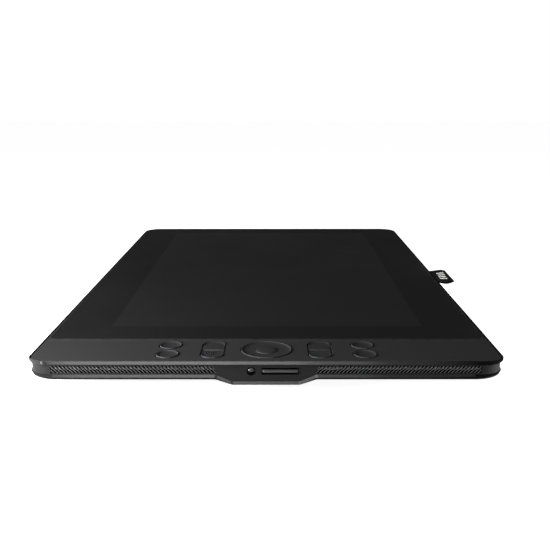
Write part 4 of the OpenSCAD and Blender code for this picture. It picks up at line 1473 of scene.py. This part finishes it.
@dataclass
class SideBand:
    """Dark wall between lip and rim, with the openings in it."""

    finish: bpy.types.Material
    dip: Dip
    vents: list[Vent]
    buttons: "SideButtons"
    radius: float = 12.8
    wall: float = 2.0
    gap: float = 0.55
    rocker_room: float = 0.35
    power_steps: int = 40
    light_steps: int = 20
    fit: float = 0.1
    vent_fit: float = 0.04
    edge: float = 0.1

    def __post_init__(self) -> None:
        """Takes the wall's place from its node."""
        box = node_box("side_band")
        self.half = box.half.xy
        self.low, self.high = box.low.z + self.dip.depth, box.high.z
        self.straight = (self.half.x - self.radius, self.half.y - self.radius)

    def build(self) -> None:
        """Builds four flat walls and joins them by round corners."""
        bm = bmesh.new()
        self.add_near_wall(bm)
        self.add_far_wall(bm)
        for side in Side:
            self.add_end_wall(bm, side)
        for quarter in range(4):
            self.add_corner(bm, quarter)
        make_piece("wall_band", bm, self.finish, replaced=["side_band"], wall=self.wall,
                   edge=self.edge)

    def blank(self, bm: BMesh, reach: float) -> list[BMEdge]:
        """Draws the outline of a plain wall.

        Args:
            bm: The mesh that is drawn in.
            reach: Half of the wall's length.

        Returns:
            The outline's edges.
        """
        pen = Pen(bm, (-reach, self.low, 0))
        return pen.line((reach, self.low, 0), (reach, self.high, 0), (-reach, self.high, 0)).close()

    def add_near_wall(self, bm: BMesh) -> None:
        """Adds the wall with vents, buttons and light, whose lower edge follows the dip.

        Args:
            bm: The mesh that is drawn in.
        """
        reach = self.straight[0]
        power, rocker = node_box("power_button").centre, node_box("volume_rocker").centre
        light = node_box("status_light")
        half_l, half_h = self.buttons.rocker_half
        rocker_half = (half_l + self.gap, half_h + self.rocker_room + self.gap)
        power_radius = self.buttons.power_radius + self.gap
        with placed(bm, upright(-self.half.y)):
            pen = Pen(bm, (-reach, self.low, 0))
            pen.line(*((x, self.low - self.dip.drop(x), 0) for x in self.dip.places()))
            pen.line((reach, self.low, 0), (reach, self.high, 0), (-reach, self.high, 0))
            edges = pen.close()
            edges += circle_outline(bm, (power.x, power.z), power_radius, 0, self.power_steps)
            edges += rounded_outline(bm, (rocker.x, rocker.z), rocker_half, (self.gap, self.gap))
            edges += circle_outline(bm, (light.centre.x, light.centre.z), light.half.x + self.fit, 0,
                                    self.light_steps)
            for vent in self.vents:
                with placed(bm, vent.to_wall()):
                    edges += vent.outline(bm, self.vent_fit)
            fill(bm, edges)

    def add_far_wall(self, bm: BMesh) -> None:
        """Adds the wall with the two sockets.

        Args:
            bm: The mesh that is drawn in.
        """
        with placed(bm, upright(self.half.y)):
            edges = self.blank(bm, self.straight[0])
            for side in Side:
                socket = node_box(f"usb_socket_{side.name.lower()}")
                half = (socket.half.x + self.fit, socket.half.z + self.fit)
                edges += rounded_outline(bm, (socket.centre.x, socket.centre.z), half, (half[1], half[1]))
            fill(bm, edges)

    def add_end_wall(self, bm: BMesh, side: Side) -> None:
        """Adds the left or right wall, the right one with the tag's slot.

        Args:
            bm: The mesh that is drawn in.
            side: Which one.
        """
        turned = Matrix.Rotation(math.radians(90), 4, "Z")
        with placed(bm, turned @ upright(-side.value * self.half.x)):
            edges = self.blank(bm, self.straight[1])
            if side is Side.RIGHT:
                tag = node_box("fabric_tag")
                half = (tag.half.y + self.fit, tag.half.z + self.fit)
                edges += rounded_outline(bm, (tag.centre.y, tag.centre.z), half, (self.fit, self.fit))
            fill(bm, edges)

    def add_corner(self, bm: BMesh, quarter: int) -> None:
        """Adds a round corner.

        Args:
            bm: The mesh that is drawn in.
            quarter: Which one, from 0 at the near right.
        """
        x, y = self.straight
        centre = Vector(((x, -y), (x, y), (-x, y), (-x, -y))[quarter]).to_3d()
        foot = centre + Matrix.Rotation(math.radians(90 * quarter), 3, "Z") @ Vector((0, -self.radius, 0))
        pen = Pen(bm, (foot.x, foot.y, self.low)).line((foot.x, foot.y, self.high))
        turn_edges(bm, pen.edges, centre)


@dataclass
class LowerFrame:
    """Painted frame whose lip stands out under the band."""

    paint: bpy.types.Material
    dip: Dip
    radius: float = 18.0
    width: float = 11.6
    lift: float = 0.5
    chamfer: float = 1.3
    edge: float = 0.15
    painted_sheen_turn: float = 0.5

    def build(self) -> None:
        """Sweeps the frame, rounds its lip and lowers it in the dip."""
        box = node_box("lower_frame")
        top, under = node_box("side_band").low.z + self.dip.depth, box.low.z + self.dip.depth + self.lift
        bm = bmesh.new()
        profile = [(self.width, under), (0, under), (0, top), (self.width, top)]
        sweep_round(bm, profile, box.half.xy, (self.radius, self.radius))
        tidy(bm)
        lip = [e for e in self.outer_edges(bm, Turn.SHARP) if e.verts[0].co.z > top - SAME_PLACE]
        soften(bm, lip, self.chamfer, segments=1)
        soften(bm, self.outer_edges(bm, Turn.CLEAR), self.edge)
        self.lower_dip(bm, box.low.y)
        # Paints a sheen on the lip's near run, its left corner and the turn of its right one.
        mark_painted_sheen(bm, box.half, self.radius, self.painted_sheen_turn)
        make_piece("lip_frame", bm, self.paint, replaced=["lower_frame"])

    @staticmethod
    def faces_out(face: BMFace) -> bool:
        """Whether a face is part of the outer side."""
        return abs(face.normal.z) < UPRIGHT and face.normal.dot(face.calc_center_median()) > 0

    def outer_edges(self, bm: BMesh, turn: Turn) -> list[BMEdge]:
        """Sharp edges of the outer side."""
        return [e for e in sharp_edges(bm, turn) if any(self.faces_out(f) for f in e.link_faces)]

    def lower_dip(self, bm: BMesh, near: float) -> None:
        """Cuts the near run where the dip bends, and lowers it there.

        Args:
            bm: The mesh.
            near: Where the near side lies along Y.
        """
        limit = near + self.width + CLEARANCE
        run = [f for f in bm.faces if all(v.co.y < limit for v in f.verts)]
        cut_at(bm, self.dip.places(), X_AXIS, run)
        for vert in bm.verts:
            if vert.co.y < limit:
                vert.co.z -= self.dip.drop(vert.co.x)


@dataclass
class BottomCover:
    """Cover under the tablet, with its deep middle and the slots for air."""

    finish: bpy.types.Material
    dip: Dip
    rim_radius: float = 17.6
    rim_height: float = 1.2
    rim_drop: float = 0.7
    rim_edge: float = 0.3
    set_back: float = 2.0
    tub_half: Flat = (100.0, 174.0)
    tub_radius: float = 12.0
    tub_lean: float = 8.0
    slot_half: Flat = (15.0, 0.8)
    slot_pitch: float = 3.6
    slot_steps: int = 4
    wall: float = 0.65

    def build(self) -> None:
        """Builds rim, underside, sloping walls and floor, then lowers the dip."""
        box = node_box("bottom_cover")
        floor = box.low.z
        under = node_box("lower_frame").low.z + self.dip.depth - self.rim_drop
        rim = (self.rim_radius, self.rim_radius)
        lean = self.tub_lean
        outer = (self.tub_half[0] + lean, self.tub_half[1] + lean)
        outer_radius = self.tub_radius + lean
        bm = bmesh.new()
        loops = [
            rounded_outline(bm, (0, 0), box.half.xy, rim, under + self.rim_height),
            rounded_outline(bm, (0, 0), box.half.xy, rim, under),
            rounded_outline(bm, (0, 0), outer, (outer_radius, outer_radius), under),
            rounded_outline(bm, (0, 0), self.tub_half, (self.tub_radius, self.tub_radius), floor),
        ]
        for upper, lower in zip(loops, loops[1:]):
            bmesh.ops.bridge_loops(bm, edges=upper + lower)
        fill(bm, loops[-1] + self.slots(bm, floor))
        tidy(bm)
        self.lower_dip(bm, under, floor)
        bends = sharp_edges(bm, Turn.SLIGHT, lambda place: place.z < under + SAME_PLACE)
        soften(bm, [e for e in bends if e.calc_length() > SHORTEST_EDGE], self.rim_edge, FINE_STEPS)
        make_piece("base_cover", bm, self.finish, replaced=["bottom_cover"], wall=self.wall)

    def slots(self, bm: BMesh, floor: float) -> list[BMEdge]:
        """Draws the air slots under both fans.

        Args:
            bm: The mesh that is drawn in.
            floor: The floor's height.

        Returns:
            The slots' edges.
        """
        edges: list[BMEdge] = []
        radius = self.slot_half[1]
        for side in Side:
            fan = node_box(f"fan_rotor_{side.name.lower()}").centre
            for step in range(-self.slot_steps, self.slot_steps + 1):
                centre = (fan.x, fan.y + step * self.slot_pitch)
                edges += rounded_outline(bm, centre, self.slot_half, (radius, radius), floor)
        return edges

    def lower_dip(self, bm: BMesh, under: float, floor: float) -> None:
        """Cuts the near side where the dip bends, and lowers it along the sloping wall.

        Args:
            bm: The mesh.
            under: Height of the underside outside the dip.
            floor: Height of the floor.
        """
        wall_y = -self.tub_half[1] - self.tub_lean
        slope = self.tub_lean / (under - floor)
        limit = CLEARANCE - self.tub_half[1]
        near = [f for f in bm.faces if all(v.co.y < limit for v in f.verts)]
        cut_at(bm, self.dip.places(), X_AXIS, near)
        for vert in bm.verts:
            drop = self.dip.drop(vert.co.x)
            if vert.co.y < wall_y - CLEARANCE:
                vert.co.z -= drop
                vert.co.y += self.set_back * self.dip.share(vert.co.x)
            elif vert.co.y < wall_y + SAME_PLACE:
                vert.co.z -= drop
                vert.co.y += drop * slope


@dataclass
class RoundKey:
    """A round key with a hollow top."""

    finish: bpy.types.Material
    keys: KeyField
    side: Side
    row: Row
    rings: int = 16
    edge: float = 0.25

    def build(self) -> None:
        """Spins the key."""
        keys = self.keys
        name = keys.name("round", self.side, self.row)
        centre, radius = keys.round_place(self.side, self.row)
        reach = radius - keys.rim
        bottom = keys.top - keys.dish
        shares = [i / self.rings for i in range(self.rings + 1)]
        profile = [(reach * share, bottom + bowl_height(share, keys.dish, keys.bowl)) for share in shares]
        profile += [(radius, keys.top), (radius, keys.shoulder), (radius + keys.flange, keys.shoulder),
                    (radius + keys.flange, keys.under), (0, keys.under)]
        bm = bmesh.new()
        spin_round(bm, profile, centre)
        tidy(bm)
        rim = sharp_edges(bm, where=lambda place: place.z > keys.top - SAME_PLACE)
        soften(bm, rim, self.edge, FINE_STEPS)
        # The steep walls and the rim take the lighter tone: a painted highlight.
        mark_painted_highlight(bm, lambda face: face.normal.z < keys.steep)
        make_piece(f"top_{name}", bm, self.finish, f"{name}_cap", [name])


@dataclass
class SplitKey:
    """One half of a long key, hollow along its length."""

    finish: bpy.types.Material
    keys: KeyField
    side: Side
    row: Row
    edge: float = 0.3
    split_radius: float = 0.3
    bowl: float = 30.0
    step: float = 0.55
    cuts: int = 24
    ridge_size: Triple = (0.5, 5.6, 0.65)
    ridge_round: float = 0.4
    ridge_pitch: float = 1.03
    ridge_steps: int = 2
    ridge_place: Flat = (-1.85, -5.55)

    def build(self) -> None:
        """Builds the cap, its flange and, on the near left key, its ridges."""
        keys = self.keys
        name = keys.name("split", self.side, self.row)
        bm = bmesh.new()
        with placed(bm, Matrix.Translation((*keys.pill_place(self.side), 0))):
            self.add_cap(bm)
            self.add_plate(bm, keys.flange, keys.under, keys.shoulder)
            if (self.side, self.row) == (Side.LEFT, Row.NEAR):
                self.add_ridges(bm)
        make_piece(f"top_{name}", bm, self.finish, f"{name}_cap", [name])

    def add_plate(self, bm: BMesh, grow: float, low: float, high: float) -> None:
        """Adds a level plate with the key's outline.

        Args:
            bm: The mesh that is drawn in.
            grow: How much wider it is than the key.
            low: Its lower level.
            high: Its upper level.
        """
        keys = self.keys
        half_x, half_l = keys.pill_half
        half = (half_x + grow, (half_l - keys.split / 2) / 2 + grow / 2)
        middle = self.row.value * ((half_l + keys.split / 2) / 2 + grow / 2)
        round_end = keys.pill_radius + grow
        radii = (self.split_radius, round_end) if self.row is Row.FAR else (round_end, self.split_radius)
        edges = rounded_outline(bm, (0, middle), half, radii, high)
        thicken(bm, fill(bm, edges), Vector((0, 0, low - high)))

    def add_cap(self, bm: BMesh) -> None:
        """Adds the cap and hollows its top.

        Args:
            bm: The mesh that is drawn in.
        """
        keys = self.keys
        self.add_plate(bm, 0, keys.under, keys.top)
        tidy(bm)
        half_x, half_l = keys.pill_half
        shares = [(i + 0.5) / self.cuts for i in range(self.cuts)]
        cut_at(bm, [self.row.value * half_l * share for share in shares], Y_AXIS)
        cut_at(bm, [half_x * (2 * share - 1) for share in shares], X_AXIS)
        step = self.step if self.row is Row.FAR else 0
        for vert in bm.verts:
            if vert.co.z > keys.top - SAME_PLACE:
                away = keys.pill_end(vert.co.x) - abs(vert.co.y) - keys.rim
                share = 1 - max(0, away) / (half_l - keys.rim)
                vert.co.z += bowl_height(share, keys.dish, self.bowl) - keys.dish + step * (1 - share)
        level = keys.top - keys.dish - SAME_PLACE
        outer = [e for e in sharp_edges(bm, where=lambda place: place.z > level)
                 if any(abs(f.normal.z) < UPRIGHT for f in e.link_faces)]
        soften(bm, outer, self.edge, FINE_STEPS)
        for vert in bm.verts:
            vert.co.z = min(vert.co.z, keys.top)
        # The steep walls and the rim take the lighter tone: a painted highlight.
        mark_painted_highlight(bm, lambda face: face.normal.z < keys.steep)

    def add_ridges(self, bm: BMesh) -> None:
        """Adds the ridges that are felt under the finger.

        Args:
            bm: The mesh that is drawn in.
        """
        keys = self.keys
        foot = keys.top - keys.dish
        x, y = self.ridge_place
        for step in range(-self.ridge_steps, self.ridge_steps + 1):
            place = Matrix.Translation((x + step * self.ridge_pitch, y, foot))
            sized = place @ Matrix.Diagonal((*self.ridge_size, 1))
            verts = bmesh.ops.create_cube(bm, size=1, matrix=sized)["verts"]
            top = [e for e in {e for v in verts for e in v.link_edges} if all(v.co.z > foot for v in e.verts)]
            soften(bm, top, self.ridge_size[0] * self.ridge_round, FINE_STEPS)


@dataclass
class TouchRing:
    """Hollow ring of the touch control, and the button in its middle."""

    finish: bpy.types.Material
    keys: KeyField
    fit: float = 0.4
    inner_drop: float = 0.85
    dish: float = 0.9
    rings: int = 24
    ring_steps: int = 128
    button_steps: int = 96
    edge: float = 0.18
    crown: float = 0.6
    dome: float = 8.0

    def build(self) -> None:
        """Builds the ring and the button."""
        centre, radius = self.keys.ring_place()
        button = node_box("centre_button")
        button_radius = button.half.x - self.keys.flange
        self.build_ring(centre, radius, button_radius + self.fit)
        self.build_button(centre, button_radius, button.high.z)

    def build_ring(self, centre: Flat, outer: float, inner: float) -> None:
        """Spins the ring.

        Args:
            centre: Its middle.
            outer: Its outer radius.
            inner: Its inner radius.
        """
        keys = self.keys
        top, bottom = keys.top, keys.top - self.dish
        middle, reach = (outer + inner) / 2, (outer - inner) / 2 - keys.rim
        profile = [(inner, keys.under), (inner, top - self.inner_drop)]
        for i in range(self.rings + 1):
            share = 2 * i / self.rings - 1
            depth = self.dish if share > 0 else self.dish - self.inner_drop
            profile.append((middle + reach * share, bottom + bowl_height(share, depth, keys.bowl)))
        profile += [(outer, top), (outer, keys.shoulder), (outer + keys.flange, keys.shoulder),
                    (outer + keys.flange, keys.under), (inner, keys.under)]
        bm = bmesh.new()
        spin_round(bm, profile, centre, self.ring_steps)
        tidy(bm)
        rim = sharp_edges(bm, where=lambda place: place.z > top - SAME_PLACE)
        soften(bm, rim, self.edge, FINE_STEPS)
        # The steep walls and the rims take the lighter tone: a painted highlight.
        mark_painted_highlight(bm, lambda face: face.normal.z < keys.steep)
        make_piece("ring_face", bm, self.finish, replaced=["touch_ring"])

    def build_button(self, centre: Flat, radius: float, top: float) -> None:
        """Spins the button with its rounded crown.

        Args:
            centre: Its middle.
            radius: Its radius.
            top: Its highest level.
        """
        keys = self.keys
        shares = [i / self.rings for i in range(self.rings + 1)]
        profile = [(radius * share, top - bowl_height(share, self.crown, self.dome)) for share in shares]
        profile += [(radius, keys.shoulder), (radius + keys.flange, keys.shoulder),
                    (radius + keys.flange, keys.under), (0, keys.under)]
        bm = bmesh.new()
        spin_round(bm, profile, centre, self.button_steps)
        tidy(bm)
        rim = sharp_edges(bm, where=lambda place: place.z > keys.shoulder + self.edge)
        soften(bm, rim, self.edge, FINE_STEPS)
        # The button's steep edge takes the lighter tone: a painted highlight.
        mark_painted_highlight(bm, lambda face: face.normal.z < keys.steep)
        make_piece("button_face", bm, self.finish, "centre_button_cap", ["centre_button"])


@dataclass
class SideButtons:
    """Power button and volume rocker in the near wall."""

    finish: bpy.types.Material
    power_radius: float = 1.95
    power_crown: float = 0.9
    power_dome: float = 2.0
    power_depth: float = 3.0
    power_rings: int = 10
    power_steps: int = 48
    rocker_half: Flat = (9.7, 1.05)
    rocker_nose: Flat = (-0.45, 0.1)
    rocker_proud: float = 1.1
    rocker_slant: float = 1.2
    rocker_play: float = 0.6
    edge: float = 0.16

    def build(self) -> None:
        """Builds both."""
        self.build_power()
        self.build_rocker()

    def build_power(self) -> None:
        """Spins the domed power button."""
        box = node_box("power_button")
        shares = [i / self.power_rings for i in range(self.power_rings + 1)]
        profile = [(self.power_radius * share, -bowl_height(share, self.power_crown, self.power_dome))
                   for share in shares]
        profile += [(self.power_radius, -self.power_depth), (0, -self.power_depth)]
        bm = bmesh.new()
        with placed(bm, Matrix.Translation((box.centre.x, 0, box.centre.z)) @ upright(box.low.y)):
            spin_round(bm, profile, steps=self.power_steps)
            tidy(bm)
            crown = sharp_edges(bm, Turn.CLEAR, lambda place: place.z > -2 * self.power_crown)
            soften(bm, crown, self.edge, FINE_STEPS)
            # The upper front faces of the dome take the lighter tone and the coat: a painted highlight.
            mark_painted_highlight(bm, lambda face: face.normal.y > 0 and face.normal.z > FACING)
        make_piece("power_face", bm, self.finish, "power_cap", ["power_button"])

    def build_rocker(self) -> None:
        """Extrudes the rocker's profile and cuts the front of its ends at a slant."""
        box = node_box("volume_rocker")
        half_l, half_h = self.rocker_half
        x, z, front, back = box.centre.x, box.centre.z, box.low.y, box.high.y - self.rocker_play
        root = front + self.rocker_proud
        profile = [(back, -half_h), (root, -half_h), *((front, nose) for nose in self.rocker_nose),
                   (root, half_h), (back, half_h)]
        points = [Vector((x - half_l, y, z + up)) for y, up in profile]
        bm = bmesh.new()
        edges = Pen(bm, points[0]).line(*points[1:]).close()
        thicken(bm, fill(bm, edges), Vector((2 * half_l, 0, 0)))
        for side in Side:
            slant = Vector((side.value * self.rocker_proud, -self.rocker_slant, 0)).normalized()
            trim(bm, Vector((x + side.value * half_l, root, z)), slant)
        tidy(bm)
        soften(bm, sharp_edges(bm, Turn.SLIGHT), self.edge, FINE_STEPS)
        # The front and upper facets take the lighter tone and the coat: a painted highlight.
        mark_painted_highlight(bm, lambda face: face.normal.z > -FACING and face.normal.y < -FACING)
        make_piece("rocker_face", bm, self.finish, "volume_bar", ["volume_rocker"])


@dataclass
class Feet:
    """Rubber feet with a shallow groove."""

    finish: bpy.types.Material
    radius: float = 8.0
    groove: Triple = (5.2, 5.9, 0.25)
    edge: float = 0.35 / 3
    steps: int = 48

    def build(self) -> None:
        """Spins a foot at each place."""
        box = node_box("feet")
        reach = box.half.xy - Vector((self.radius, self.radius))
        places = [(0, 0)] + [(x.value * reach.x, y.value * reach.y) for x in Side for y in Row]
        inner, outer, depth = self.groove
        profile = [(0, box.high.z), (self.radius, box.high.z), (self.radius, box.low.z), (outer, box.low.z),
                   (outer, box.low.z + depth), (inner, box.low.z + depth), (inner, box.low.z), (0, box.low.z)]
        bm = bmesh.new()
        for x, y in places:
            spin_round(bm, profile, (box.centre.x + x, box.centre.y + y), self.steps)
        tidy(bm)
        soften(bm, sharp_edges(bm, Turn.SQUARE, lambda place: place.z < box.low.z + SAME_PLACE), self.edge)
        make_piece("foot_pads", bm, self.finish, replaced=["feet"])


@dataclass
class FabricTag:
    """Woven tape, folded once and held in the right wall."""

    finish: bpy.types.Material
    ply: float = 0.5
    gap: float = 0.2
    sag: float = 0.75
    twist: float = 1.25
    steps_along: int = 24
    steps_across: int = 18
    fold_steps: int = 8

    def build(self) -> None:
        """Draws the folded tape from the side, runs it across, and lets its loose end sag and twist."""
        box = node_box("fabric_tag")
        half = (self.ply + self.gap) / 2
        nose = box.high.x - half - self.ply / 2
        z, y = box.centre.z, box.low.y
        along = [box.low.x + (nose - box.low.x) * i / self.steps_along for i in range(self.steps_along + 1)]
        bm = bmesh.new()
        pen = Pen(bm, (along[0], y, z + half), Y_AXIS).line(*((x, y, z + half) for x in along[1:]))
        pen.arc((nose, y, z), 180, self.fold_steps)
        pen.line(*((x, y, z - half) for x in reversed(along[:-1])))
        edges = pen.edges
        for _ in range(self.steps_across):
            edges = run_edges(bm, edges, Vector((0, 2 * box.half.y / self.steps_across, 0)))
        root = node_box("side_band").high.x
        for vert in bm.verts:
            share = max(0.0, (vert.co.x - root) / (box.high.x - root))
            across = (vert.co.y - box.centre.y) / box.half.y
            lift = self.twist * across * math.sin(math.pi * share ** 2)
            vert.co.z += lift - self.sag * math.sin(math.pi * share)
        piece = make_piece("tag_tape", bm, self.finish, replaced=["fabric_tag"])
        cloth = piece.modifiers.new("cloth", "SOLIDIFY")
        cloth.thickness = self.ply * MM
        cloth.offset = 0


# Floor, light and camera


@dataclass(frozen=True)
class Lamp:
    """A rectangular light that points at a place on the tablet or the floor before it."""

    name: str
    place: Triple
    aim: Triple
    size: Flat
    power: float

    def build(self) -> None:
        """Hangs the light."""
        light = bpy.data.lights.new(self.name, "AREA")
        light.shape = "RECTANGLE"
        light.size, light.size_y = self.size
        light.energy = self.power
        lamp = bpy.data.objects.new(self.name, light)
        lamp.location = self.place
        lamp.rotation_euler = (Vector(self.aim) - Vector(self.place)).to_track_quat("-Z", "Y").to_euler()
        lamp.visible_camera = False
        bpy.context.scene.collection.objects.link(lamp)


@dataclass
class Studio:
    """Pale floor, white surroundings, the camera of the photograph and lamps that are set for its view."""

    lamps: tuple[Lamp, ...] = (
        Lamp("key_light", (-0.28, -0.31, 0.1), (-0.02, -0.12, 0.0), (0.1, 0.1), 2.2),
        Lamp("far_light", (-0.25, 0.35, 0.2), (-0.05, 0.12, 0.0), (0.16, 0.16), 0.5),
        Lamp("strip_light", (-0.22, -0.52, 0.9), (-0.22, -0.52, 0.0), (0.32, 0.08), 1.35),
        Lamp("strip_fade", (0.0, -0.52, 0.9), (0.0, -0.52, 0.0), (0.12, 0.08), 0.38),
        Lamp("strip_end", (0.12, -0.52, 0.9), (0.12, -0.52, 0.0), (0.12, 0.08), 0.15),
        Lamp("left_slope_light", (0.47, -0.5, 0.9), (-0.02, -0.2, 0.0), (0.14, 0.1), 0.4),
        Lamp("right_slope_light", (-0.49, -0.5, 0.9), (0.02, -0.2, 0.0), (0.14, 0.1), 0.4),
        Lamp("corner_light", (0.42, -0.22, 0.013), (0.12, -0.2, 0.013), (0.05, 0.02), 2.0),
        Lamp("corner_spark", (0.7, -0.215, 0.574), (0.12, -0.2, 0.02), (0.12, 0.12), 0.35),
        Lamp("tag_light", (0.175, 0.01, 0.03), (0.138, 0.01, 0.014), (0.02, 0.03), 0.03),
    )
    floor_size: float = 4.0
    floor_colour: Colour = (0.86, 0.86, 0.86)
    floor_lift: float = 0.9
    ambient: float = 0.1
    lens: float = 50.38
    camera_place: Triple = (0.00456, -0.5983, 0.1583)
    camera_tilt: float = 76.73
    camera_turn: float = -0.041

    def build(self) -> None:
        """Builds all of it."""
        self.add_floor()
        self.add_world()
        for lamp in self.lamps:
            lamp.build()
        self.add_camera()
        bpy.context.scene.view_settings.view_transform = "Standard"
        LOG.info("studio with %d lamps", len(self.lamps))

    @staticmethod
    def seen(wiring: Wiring) -> Socket:
        """Mask of the rays that show the background itself.

        Args:
            wiring: The tree that it is wired in.

        Returns:
            1 for camera, glossy and transmission rays, else 0.
        """
        path = wiring.node("ShaderNodeLightPath")
        shiny = wiring.math("MAXIMUM", path.outputs["Is Glossy Ray"], path.outputs["Is Transmission Ray"])
        return wiring.math("MAXIMUM", path.outputs["Is Camera Ray"], shiny)

    def add_floor(self) -> None:
        """Lays the floor, which shows white where no shadow falls."""
        bm = bmesh.new()
        bmesh.ops.create_grid(bm, x_segments=1, y_segments=1, size=self.floor_size)
        mesh = bpy.data.meshes.new("floor")
        bm.to_mesh(mesh)
        bm.free()
        floor = bpy.data.objects.new("floor", mesh)
        bpy.context.scene.collection.objects.link(floor)
        material = bpy.data.materials.new("floor_paper")
        material.use_nodes = True
        wiring = Wiring(material.node_tree)
        shader = material.node_tree.nodes["Principled BSDF"]
        shader.inputs["Base Color"].default_value = (*self.floor_colour, 1)
        shader.inputs["Roughness"].default_value = 1.0
        shader.inputs["Specular IOR Level"].default_value = 0.0
        shader.inputs["Emission Color"].default_value = (1, 1, 1, 1)
        lift = wiring.math("MULTIPLY", self.seen(wiring), self.floor_lift)
        wiring.feed(shader.inputs["Emission Strength"], lift)
        mesh.materials.append(material)

    def add_world(self) -> None:
        """Makes the surroundings white to the eye and dim as light."""
        world = bpy.data.worlds.new("surroundings")
        bpy.context.scene.world = world
        world.use_nodes = True
        wiring = Wiring(world.node_tree)
        background = world.node_tree.nodes["Background"]
        background.inputs["Color"].default_value = (1, 1, 1, 1)
        strength = wiring.spread(self.seen(wiring), self.ambient, 1.0)
        wiring.feed(background.inputs["Strength"], strength)

    def add_camera(self) -> None:
        """Sets the camera as the photograph's perspective asks."""
        data = bpy.data.cameras.new("camera")
        data.lens = self.lens
        camera = bpy.data.objects.new("camera", data)
        camera.location = self.camera_place
        camera.rotation_euler = (math.radians(self.camera_tilt), 0, math.radians(self.camera_turn))
        bpy.context.scene.collection.objects.link(camera)
        bpy.context.scene.camera = camera


def main() -> None:
    """Builds every sub-assembly, then the studio."""
    logging.basicConfig(level=logging.INFO, format="%(name)s %(message)s")
    palette = Palette()
    palette.dress_nodes()
    dip, keys, glass = Dip(), KeyField(), GlassPlace()
    vents = [Vent(palette["vent_plastic"], side) for side in Side]
    buttons = SideButtons(palette["button_plastic"])
    assemblies = [
        TopFrame(palette["frame_paint"], palette["rim_paint"], keys, glass),
        CoverGlass(palette["cover_glass"], glass),
        *vents,
        SideBand(palette["band_plastic"], dip, vents, buttons),
        LowerFrame(palette["lip_paint"], dip),
        BottomCover(palette["cover_plastic"], dip),
        *(RoundKey(palette["key_plastic"], keys, side, row) for side in Side for row in Row),
        *(SplitKey(palette["key_plastic"], keys, side, row) for side in Side for row in Row),
        TouchRing(palette["key_plastic"], keys),
        buttons,
        Feet(palette["foot_rubber"]),
        FabricTag(palette["tag_cloth"]),
        Studio(),
    ]
    for assembly in assemblies:
        assembly.build()


if __name__ == "__main__":
    main()
